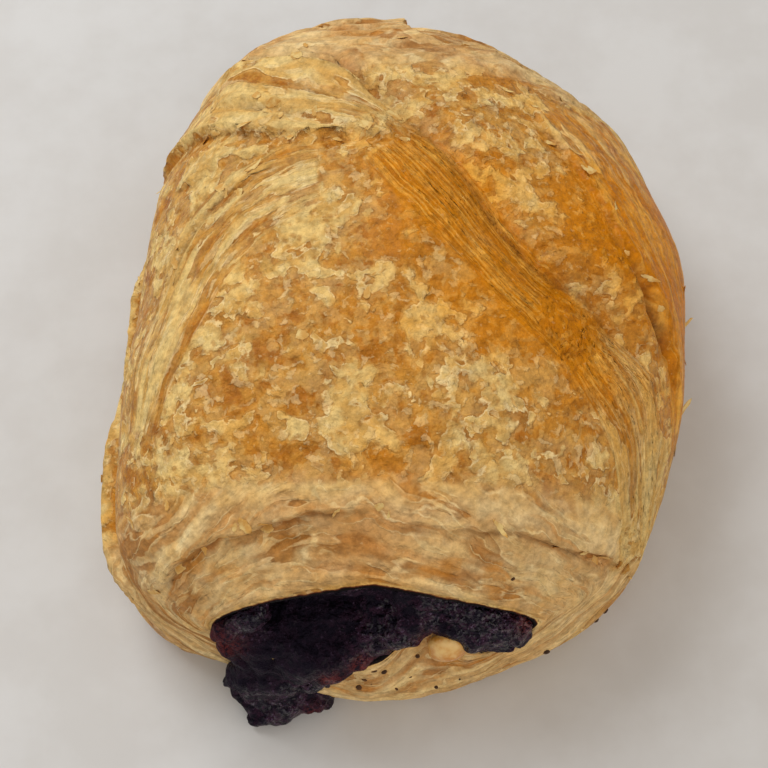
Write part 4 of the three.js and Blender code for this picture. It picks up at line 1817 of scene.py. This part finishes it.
def drawn_strands() -> bpy.types.NodeTree:
    """Make the effect of fine layers drawn out side by side, from their own grain.

    Returns:
        The effect's group.
    """
    effect = Effect(
        "drawn_strands",
        (("Grain", VECTOR, None), ("Place", VECTOR, None), ("Fineness", FLOAT, 3.0)),
        ("Light", "Dark", "Layer", "Thread", "Height"),
    )
    graph, given, out = effect.begin()
    apart = graph.node("ShaderNodeSeparateXYZ")
    graph.feed(apart.inputs[0], given["Grain"])
    along, turns, which = apart.outputs
    bent = graph.sum("MULTIPLY_ADD", graph.noise(given["Place"], 3.2, 2.0, 0.55), 0.7, turns)

    def combed(stretch: float, fineness: Socket, shift: float) -> Socket:
        """Make a place that runs slowly along the layers and quickly across them.

        Args:
            stretch: How fast it runs along them.
            fineness: How fast it runs across them.
            shift: How far apart it is from other uses of the same grain.

        Returns:
            The place.
        """
        laid = graph.node("ShaderNodeCombineXYZ")
        runs, crosses = graph.sum("MULTIPLY", along, stretch), graph.sum("MULTIPLY", bent, fineness)
        placed = (runs, crosses, graph.sum("ADD", which, shift))
        for socket, value in zip(laid.inputs, placed):
            graph.feed(socket, value)
        return laid.outputs[0]

    fibre = graph.noise(combed(0.045, given["Fineness"], 0.0), 1.0, 2.0, 0.5)
    layer = graph.noise(combed(0.045, graph.sum("MULTIPLY", given["Fineness"], 0.5), 9.0), 1.0, 2.0, 0.5)
    lines = graph.noise(combed(0.055, graph.sum("MULTIPLY", given["Fineness"], 0.8), 23.0), 1.0, 1.5, 0.5)
    thread = graph.range(graph.sum("ABSOLUTE", graph.sum("SUBTRACT", lines, 0.5)), 0.024, 0.006)
    kept = graph.range(graph.noise(given["Place"], 4.5, 2.0), 0.4, 0.52)
    thread = graph.sum("MULTIPLY", thread, kept)
    light = graph.range(fibre, 0.5, 0.64)
    dark = graph.range(fibre, 0.45, 0.34)
    ridges = graph.sum("MULTIPLY_ADD", thread, 0.12, graph.sum("MULTIPLY", layer, 0.8))
    given_out = (
        ("Light", light), ("Dark", dark), ("Layer", layer), ("Thread", thread),
        ("Height", graph.sum("ADD", fibre, ridges)),
    )
    for name, value in given_out:
        graph.feed(out.inputs[name], value)
    return graph.tree


@dataclass(frozen=True)
class CrustSigns:
    """What the crust's finish goes by: how brown, drawn or cut it is, and what the effects give there."""

    graph: Graph
    place: Socket
    bake: Socket
    strand: Socket
    end: Socket
    film: Sockets
    strands: Sockets

    def drawn(self) -> Socket:
        """Return how clearly the strands show, which is less where the crust is pale."""
        return self.graph.sum("MULTIPLY", self.strand, self.graph.range(self.bake, -0.1, 0.4, 0.3, 1.0))


@dataclass(frozen=True)
class CrustFinish:
    """Egg-washed laminated dough: glossy amber under torn pale film, browned in places."""

    film: bpy.types.NodeTree
    strands: bpy.types.NodeTree
    amber: Colour = (198, 140, 58)
    deep_amber: Colour = (167, 101, 29)
    toasted: Colour = (200, 122, 6)
    flake: Colour = (231, 198, 128)
    # Pale flakes, and the painted highlights on lifted edges and glints.
    bright_flake_and_highlight: Colour = (250, 224, 166)
    dull_flake: Colour = (212, 167, 93)
    toasted_flake: Colour = (240, 176, 74)
    # Pits, and the painted shade just outside the film's edges.
    pit: Colour = (160, 96, 20)
    # The colour of the painted shade in cracks, valleys and the layers' feet.
    crack_and_shade: Colour = (112, 64, 18)
    groove: Colour = (190, 112, 8)
    crumb: Colour = (230, 198, 141)
    crumb_deep: Colour = (174, 122, 68)
    crumb_amber: Colour = (209, 142, 57)
    crumb_toasted: Colour = (190, 132, 70)
    stained_edge: Colour = (96, 44, 22)
    chocolate: Colour = (16, 8, 9)
    free_island: float = 7.0
    drawn_island: float = 6.0
    combing: Place = (0.26, 2.4, 3.0)
    fineness: float = 1.7
    roughness: tuple[float, float] = (0.44, 0.66)
    glaze: tuple[float, float] = (0.02, 0.07)
    coat_roughness: float = 0.2
    specular: float = 0.09

    def make(self) -> bpy.types.Material:
        """Make the material.

        Returns:
            The material.
        """
        finish = begin_finish("baked_crust")
        graph = finish.graph
        place = graph.millimetres()
        strand, end = graph.told(Field.STRAND), graph.told(Field.END)
        wander = graph.noise(place, 13.0, 3.0, 0.55)
        bake = graph.sum("ADD", graph.told(Field.BAKE), graph.range(wander, 0.3, 0.7, -0.18, 0.22))
        cover = graph.sum("MULTIPLY_ADD", bake, -0.55, 0.5)
        cover = graph.sum("ADD", cover, graph.sum("MULTIPLY", graph.told(Field.PALE), 0.5))
        grain = graph.told(Field.GRAIN, vector=True)
        free = place_effect(graph, self.film, Place=place, Cover=cover, Size=self.free_island)
        combed = graph.vectors("MULTIPLY", grain, self.combing)
        drawn = place_effect(graph, self.film, Place=combed, Cover=cover, Size=self.drawn_island)
        along = graph.range(graph.sum("MAXIMUM", strand, end), 0.35, 0.6)
        film = {name: self._either(graph, along, free[name], drawn[name]) for name in free}
        strands = place_effect(graph, self.strands, Grain=grain, Place=place, Fineness=self.fineness)
        signs = CrustSigns(graph, place, bake, strand, end, film, strands)
        body = self._skin(signs)
        for change in (self._cut_end, self._cracks, self._mottled, self._stained):
            body = change(signs, body)
        covered = graph.sum("MAXIMUM", film["Film"], graph.sum("MULTIPLY", end, 0.8))
        glaze = graph.range(bake, 0.0, 0.6, *self.glaze)
        finish.feed(
            Base_Color=body,
            Roughness=graph.range(covered, 0.0, 1.0, *self.roughness),
            Coat_Weight=graph.sum("MULTIPLY", graph.sum("SUBTRACT", 1.0, covered), glaze),
            Coat_Roughness=self.coat_roughness,
            Specular_IOR_Level=self.specular,
            Normal=self._relief(signs),
        )
        return finish.material

    @staticmethod
    def _either(graph: Graph, share: Value, one: Value, two: Value) -> Socket:
        """Return a value the given share of the way from one to two."""
        step = graph.sum("SUBTRACT", two, one)
        return graph.sum("MULTIPLY_ADD", step, share, one)

    def _skin(self, signs: CrustSigns) -> Socket:
        """Colour the outer skin: amber, veils of film, pale islands and pits, with a painted highlight on the
        islands' lifted edges and painted shade just outside them.

        Args:
            signs: What the finish goes by.

        Returns:
            The colour.
        """
        graph, film = signs.graph, signs.film
        warm = graph.range(signs.bake, 0.0, 0.8)
        pooled = graph.range(graph.noise(signs.place, 3.0, 4.0, 0.65), 0.38, 0.64)
        ground = graph.blend(pooled, linear(self.amber), linear(self.deep_amber))
        ground = graph.blend(warm, ground, linear(self.toasted))
        pale = graph.blend(graph.range(film["Tone"], 0.38, 0.6), linear(self.dull_flake), linear(self.flake))
        pale = graph.blend(warm, pale, linear(self.toasted_flake))
        body = graph.blend(graph.sum("MULTIPLY", film["Veil"], 0.3), ground, pale)
        drawn = signs.drawn()
        lit = graph.sum("MULTIPLY", drawn, graph.sum("MULTIPLY", signs.strands["Light"], 0.6))
        body = graph.blend(lit, body, pale)
        # Painted shade just outside the film's edges, in the pits' colour.
        body = graph.blend(graph.sum("MULTIPLY", film["Rim_Shade"], 0.5), body, linear(self.pit))
        thin = graph.sum("MULTIPLY_ADD", film["Thick"], 0.42, 0.5)
        body = graph.blend(graph.sum("MULTIPLY", film["Film"], thin), body, pale)
        bright = graph.blend(warm, linear(self.bright_flake_and_highlight), linear(self.toasted_flake))
        # Painted highlight along the film's lifted edges.
        body = graph.blend(graph.sum("MULTIPLY", film["Lip_Highlight"], 0.6), body, bright)
        body = graph.blend(graph.sum("MULTIPLY", film["Fleck"], 0.34), body, bright)
        pits = graph.sum("MULTIPLY", film["Pit"], graph.range(signs.strand, 0.2, 0.7, 0.5, 0.1))
        body = graph.blend(pits, body, linear(self.pit))
        threads = graph.sum("MULTIPLY", drawn, graph.sum("MULTIPLY", signs.strands["Thread"], 0.35))
        return graph.blend(threads, body, bright)

    def _cut_end(self, signs: CrustSigns, body: Socket) -> Socket:
        """Lay the cut ends' crumb and layers over the skin.

        Args:
            signs: What the finish goes by.
            body: The colour so far.

        Returns:
            The colour.
        """
        graph, film, strands = signs.graph, signs.film, signs.strands
        layered = graph.range(strands["Layer"], 0.4, 0.6)
        cut = graph.blend(layered, linear(self.crumb_deep), linear(self.crumb))
        clear = graph.range(graph.noise(signs.place, 7.0, 2.0, 0.5), 0.56, 0.62)
        cut = graph.blend(graph.sum("MULTIPLY", clear, 0.4), cut, linear(self.crumb_amber))
        cut = graph.blend(graph.sum("MULTIPLY", film["Film"], 0.4), cut, linear(self.crumb))
        # Painted highlight along the film's lifted edges.
        cut = graph.blend(graph.sum("MULTIPLY", film["Lip_Highlight"], 0.3), cut, linear(self.bright_flake_and_highlight))
        toasted = graph.range(graph.told(Field.BAKE), 0.1, 0.7, 0.0, 0.7)
        cut = graph.blend(toasted, cut, linear(self.crumb_toasted))
        cut = graph.blend(graph.sum("MULTIPLY", strands["Thread"], 0.55), cut, linear(self.bright_flake_and_highlight))
        # Painted shade just outside the film's edges, in the dark crack colour.
        cut = graph.blend(graph.sum("MULTIPLY", film["Rim_Shade"], 0.2), cut, linear(self.crack_and_shade))
        return graph.blend(graph.sum("MULTIPLY", signs.end, 0.85), body, cut)

    def _cracks(self, signs: CrustSigns, body: Socket) -> Socket:
        """Darken the strands' dark lines, and paint shade into the cracks, the valleys and the feet of the
        layers.

        Args:
            signs: What the finish goes by.
            body: The colour so far.

        Returns:
            The colour.
        """
        graph = signs.graph
        layered = graph.sum("MAXIMUM", signs.drawn(), graph.sum("MULTIPLY", signs.end, 1.4))
        lines = graph.sum("MULTIPLY", layered, graph.sum("MULTIPLY", signs.strands["Dark"], 0.24))
        body = graph.blend(lines, body, linear(self.groove))
        # Painted shade in the cracks, the valleys and the layers' feet.
        return graph.blend(graph.sum("MULTIPLY", graph.told(Field.CRACK_AND_SHADE), 0.8), body, linear(self.crack_and_shade))

    def _mottled(self, signs: CrustSigns, body: Socket) -> Socket:
        """Add small lighter and darker specks, some warmer than others, and painted glints.

        Args:
            signs: What the finish goes by.
            body: The colour so far.

        Returns:
            The colour.
        """
        graph, place = signs.graph, signs.place
        speck = graph.range(graph.noise(place, 1.3, 4.0, 0.7), 0.25, 0.75, 0.73, 1.24)
        broad = graph.range(graph.noise(place, 3.0, 2.0, 0.6), 0.3, 0.7)
        tint = graph.blend(broad, (1.0, 0.97, 0.88, 1.0), (1.0, 1.03, 1.08, 1.0))
        shade = graph.node("ShaderNodeCombineColor")
        for socket in shade.inputs:
            graph.feed(socket, speck)
        body = graph.blend(1.0, body, tint, "MULTIPLY")
        body = graph.blend(1.0, body, shade.outputs[0], "MULTIPLY")
        # Painted glints: tiny pale highlights in the colour.
        glint = graph.range(graph.noise(place, 0.6, 2.0, 0.6), 0.65, 0.72, 0.0, 0.16)
        return graph.blend(glint, body, linear(self.bright_flake_and_highlight))

    def _stained(self, signs: CrustSigns, body: Socket) -> Socket:
        """Stain the passage with chocolate, with a reddish edge to it.

        Args:
            signs: What the finish goes by.
            body: The colour so far.

        Returns:
            The colour.
        """
        graph = signs.graph
        ragged = graph.range(graph.noise(signs.place, 1.6, 3.0), 0.3, 0.7, -0.12, 0.12)
        stain = graph.sum("ADD", graph.told(Field.STAIN), ragged)
        body = graph.blend(graph.range(stain, 0.5, 0.72), body, linear(self.stained_edge))
        return graph.blend(graph.range(stain, 0.7, 0.88), body, linear(self.chocolate))

    @staticmethod
    def _relief(signs: CrustSigns) -> Socket:
        """Raise film edges over fine layers over small blisters.

        Args:
            signs: What the finish goes by.

        Returns:
            The normal.
        """
        graph = signs.graph
        drawn = graph.sum("MAXIMUM", signs.strand, graph.sum("MULTIPLY", signs.end, 1.5))
        normal = graph.bump(graph.noise(signs.place, 3.4, 3.0, 0.55), 1.3)
        normal = graph.bump(graph.sum("MULTIPLY", drawn, signs.strands["Height"]), 0.24, normal)
        return graph.bump(signs.film["Height"], 0.3, normal)


@dataclass(frozen=True)
class FillingFinish:
    """Dark chocolate filling: nearly black, granular and half glossy, reddish where it is thin, with painted
    sheen and painted sparkles in its colour where it is wet.
    """

    deep: Colour = (3, 1, 2)
    # The colour of the painted sheen on the lumps.
    lit: Colour = (54, 28, 42)
    # The colour of the painted sparkles.
    fleck: Colour = (124, 104, 134)
    thin: Colour = (112, 44, 34)
    sheen: Place = (0.5, 0.4, 0.72)
    roughness: tuple[float, float] = (0.72, 0.3)
    coat_roughness: float = 0.12
    coat_bending: float = 1.6
    specular: float = 0.42

    def make(self) -> bpy.types.Material:
        """Make the material.

        Returns:
            The material.
        """
        finish = begin_finish("dark_filling")
        graph = finish.graph
        place = graph.millimetres()
        grains = graph.noise(place, 0.5, 2.0, 0.6)
        crumbs = graph.cells(place, 0.85)
        patches = graph.noise(place, 3.4, 3.0, 0.6)
        lumps = graph.range(graph.noise(place, 1.4, 4.0, 0.65), 0.43, 0.6)
        # Painted sheen: lighter lumps where the filling is wet.
        lit = graph.sum("MULTIPLY", graph.range(graph.told(Field.GLOSS_AND_SHEEN), -0.3, 0.8), lumps)
        colour = graph.blend(lit, linear(self.deep), linear(self.lit))
        # Painted sparkles on the sheen.
        painted_sparkles = graph.range(graph.noise(place, 0.45, 2.0, 0.6), 0.58, 0.68, 0.0, 0.6)
        colour = graph.blend(graph.sum("MULTIPLY", lit, painted_sparkles), colour, linear(self.fleck))
        clear = graph.sum("MULTIPLY", graph.told(Field.THIN), graph.range(grains, 0.3, 0.6))
        colour = graph.blend(clear, colour, linear(self.thin))
        film = graph.sum("ADD", graph.told(Field.GLOSS_AND_SHEEN), graph.range(patches, 0.35, 0.65, -0.35, 0.35))
        wet = graph.range(film, 0.25, 0.75)
        normal = graph.bump(graph.noise(place, 1.7, 3.0, 0.6), 1.1)
        normal = graph.bump(graph.sum("SUBTRACT", 1.0, crumbs), 0.4, normal)
        finish.feed(
            Base_Color=colour,
            Roughness=graph.range(wet, 0.0, 1.0, *self.roughness),
            Coat_Weight=graph.sum("MULTIPLY", wet, graph.range(grains, 0.5, 0.62, 0.0, 0.7)),
            Coat_Roughness=self.coat_roughness,
            Coat_IOR=self.coat_bending,
            Specular_IOR_Level=self.specular,
            Specular_Tint=(*self.sheen, 1.0),
            Normal=graph.bump(grains, 0.75, normal),
        )
        return finish.material


@dataclass(frozen=True)
class ScrapFinish:
    """A scrap of film or a crumb: one colour, mottled towards another, a little rough."""

    name: str
    light: Colour
    deep: Colour
    roughness: float = 0.6
    size: float = 1.8
    coat: float = 0.0
    coat_roughness: float = 0.12
    specular: float = 0.2
    relief: float = 0.4

    def make(self) -> bpy.types.Material:
        """Make the material.

        Returns:
            The material.
        """
        finish = begin_finish(self.name)
        graph = finish.graph
        cloud = graph.noise(graph.millimetres(), self.size, 3.0, 0.6)
        finish.feed(
            Base_Color=graph.blend(graph.range(cloud, 0.36, 0.62), linear(self.light), linear(self.deep)),
            Roughness=self.roughness,
            Specular_IOR_Level=self.specular,
            Coat_Weight=self.coat,
            Coat_Roughness=self.coat_roughness,
            Normal=graph.bump(cloud, self.relief),
        )
        return finish.material


@dataclass(frozen=True)
class PaperFinish:
    """Plain pale paper under the roll."""

    light: Colour = (214, 213, 211)
    shade: Colour = (208, 206, 203)
    roughness: float = 0.75

    def make(self) -> bpy.types.Material:
        """Make the material.

        Returns:
            The material.
        """
        finish = begin_finish("pale_paper")
        graph = finish.graph
        cloud = graph.noise(graph.millimetres(), 18.0, 4.0, 0.6)
        colour = graph.blend(graph.range(cloud, 0.35, 0.65), linear(self.light), linear(self.shade))
        finish.feed(Base_Color=colour, Roughness=self.roughness)
        return finish.material


# ---- The studio -------------------------------------------------------------------------------------


@dataclass
class Lamp:
    """A square soft light that looks at the roll."""

    name: str
    place: Place
    size: float
    power: float
    colour: tuple[float, float, float]


@dataclass
class Studio:
    """The floor, the lights and the camera."""

    floor_size: float = 3.0
    look_at: Place = (-2.2, -3.55, 17.1)
    elevation: float = 64.0
    distance: float = 237.5
    focal: float = 1533.7
    centre: tuple[float, float] = (386.6, 364.0)
    frame_size: int = 768
    sensor: float = 36.0
    sky: tuple[float, float, float] = (1.0, 0.95, 0.9)
    sky_strength: float = 0.5
    lamps: tuple[Lamp, ...] = (
        Lamp("key", (-0.22, 0.22, 0.42), 0.3, 1.35, (0.97, 1.0, 1.03)),
        Lamp("fill", (0.15, -0.6, 0.5), 0.8, 0.9, (1.0, 0.95, 0.88)),
        Lamp("side", (0.5, -0.3, 0.3), 0.5, 0.42, (1.0, 0.86, 0.74)),
    )

    def build(self) -> None:
        """Lay the floor, hang the lights and stand the camera."""
        bpy.context.scene.view_settings.view_transform = "Standard"
        self._lay_floor()
        self._light()
        self._stand_camera()

    def _lay_floor(self) -> None:
        """Lay the plain pale floor."""
        bpy.ops.object.select_all(action="DESELECT")
        bpy.ops.mesh.primitive_plane_add(size=self.floor_size)
        floor = bpy.context.object
        floor.name = "floor"
        dress(floor, PaperFinish().make())

    def _light(self) -> None:
        """Hang the lamps and set the sky."""
        for lamp in self.lamps:
            light = bpy.data.lights.new(lamp.name, "AREA")
            light.size, light.energy, light.color = lamp.size, lamp.power, lamp.colour
            hung = bpy.data.objects.new(lamp.name, light)
            hung.location = lamp.place
            hung.rotation_euler = (-Vector(lamp.place)).to_track_quat("-Z", "Y").to_euler()
            bpy.context.scene.collection.objects.link(hung)
        world = bpy.data.worlds.new("sky")
        bpy.context.scene.world = world
        world.use_nodes = True
        background = world.node_tree.nodes["Background"]
        background.inputs["Color"].default_value = (*self.sky, 1.0)
        background.inputs["Strength"].default_value = self.sky_strength

    def _stand_camera(self) -> None:
        """Stand the camera in front and above, with the roll where it should show."""
        rise = math.radians(self.elevation)
        back = Vector((0.0, -math.cos(rise), math.sin(rise)))
        up = Vector((0.0, math.sin(rise), math.cos(rise)))
        right = Vector((1.0, 0.0, 0.0))
        middle = self.frame_size / 2
        scale = self.distance / self.focal
        target = Vector(self.look_at) - right * (self.centre[0] - middle) * scale
        target -= up * (middle - self.centre[1]) * scale
        lens = bpy.data.cameras.new("camera")
        lens.sensor_width = self.sensor
        lens.lens = self.focal * self.sensor / self.frame_size
        lens.clip_start = 0.01
        camera = bpy.data.objects.new("camera", lens)
        camera.location = (target + back * self.distance) * MM
        camera.rotation_euler = back.to_track_quat("Z", "Y").to_euler()
        bpy.context.scene.collection.objects.link(camera)
        bpy.context.scene.camera = camera


def main() -> None:
    """Build every piece in order."""
    logging.basicConfig(level=logging.INFO, format="%(message)s")
    Studio().build()
    film, strands = flaked_film(), drawn_strands()
    crust = Crust().build(CrustFinish(film, strands).make())
    Filling().build(FillingFinish().make())
    glaze = ScrapFinish(
        "glazed_bubble", light=(236, 194, 120), deep=(206, 136, 44), roughness=0.3, size=3.0, coat=0.7
    )
    Bubble().build(glaze.make())
    torn_film = ScrapFinish("torn_film", light=(230, 198, 128), deep=(210, 158, 80))
    loose_flakes().build(crust, Slot.CRUST, torn_film.make())
    dark_crumb = ScrapFinish("dark_crumb", light=(92, 58, 26), deep=(54, 32, 14))
    dark_crumbs().build(crust, Slot.FILLING, dark_crumb.make())


if __name__ == "__main__":
    main()
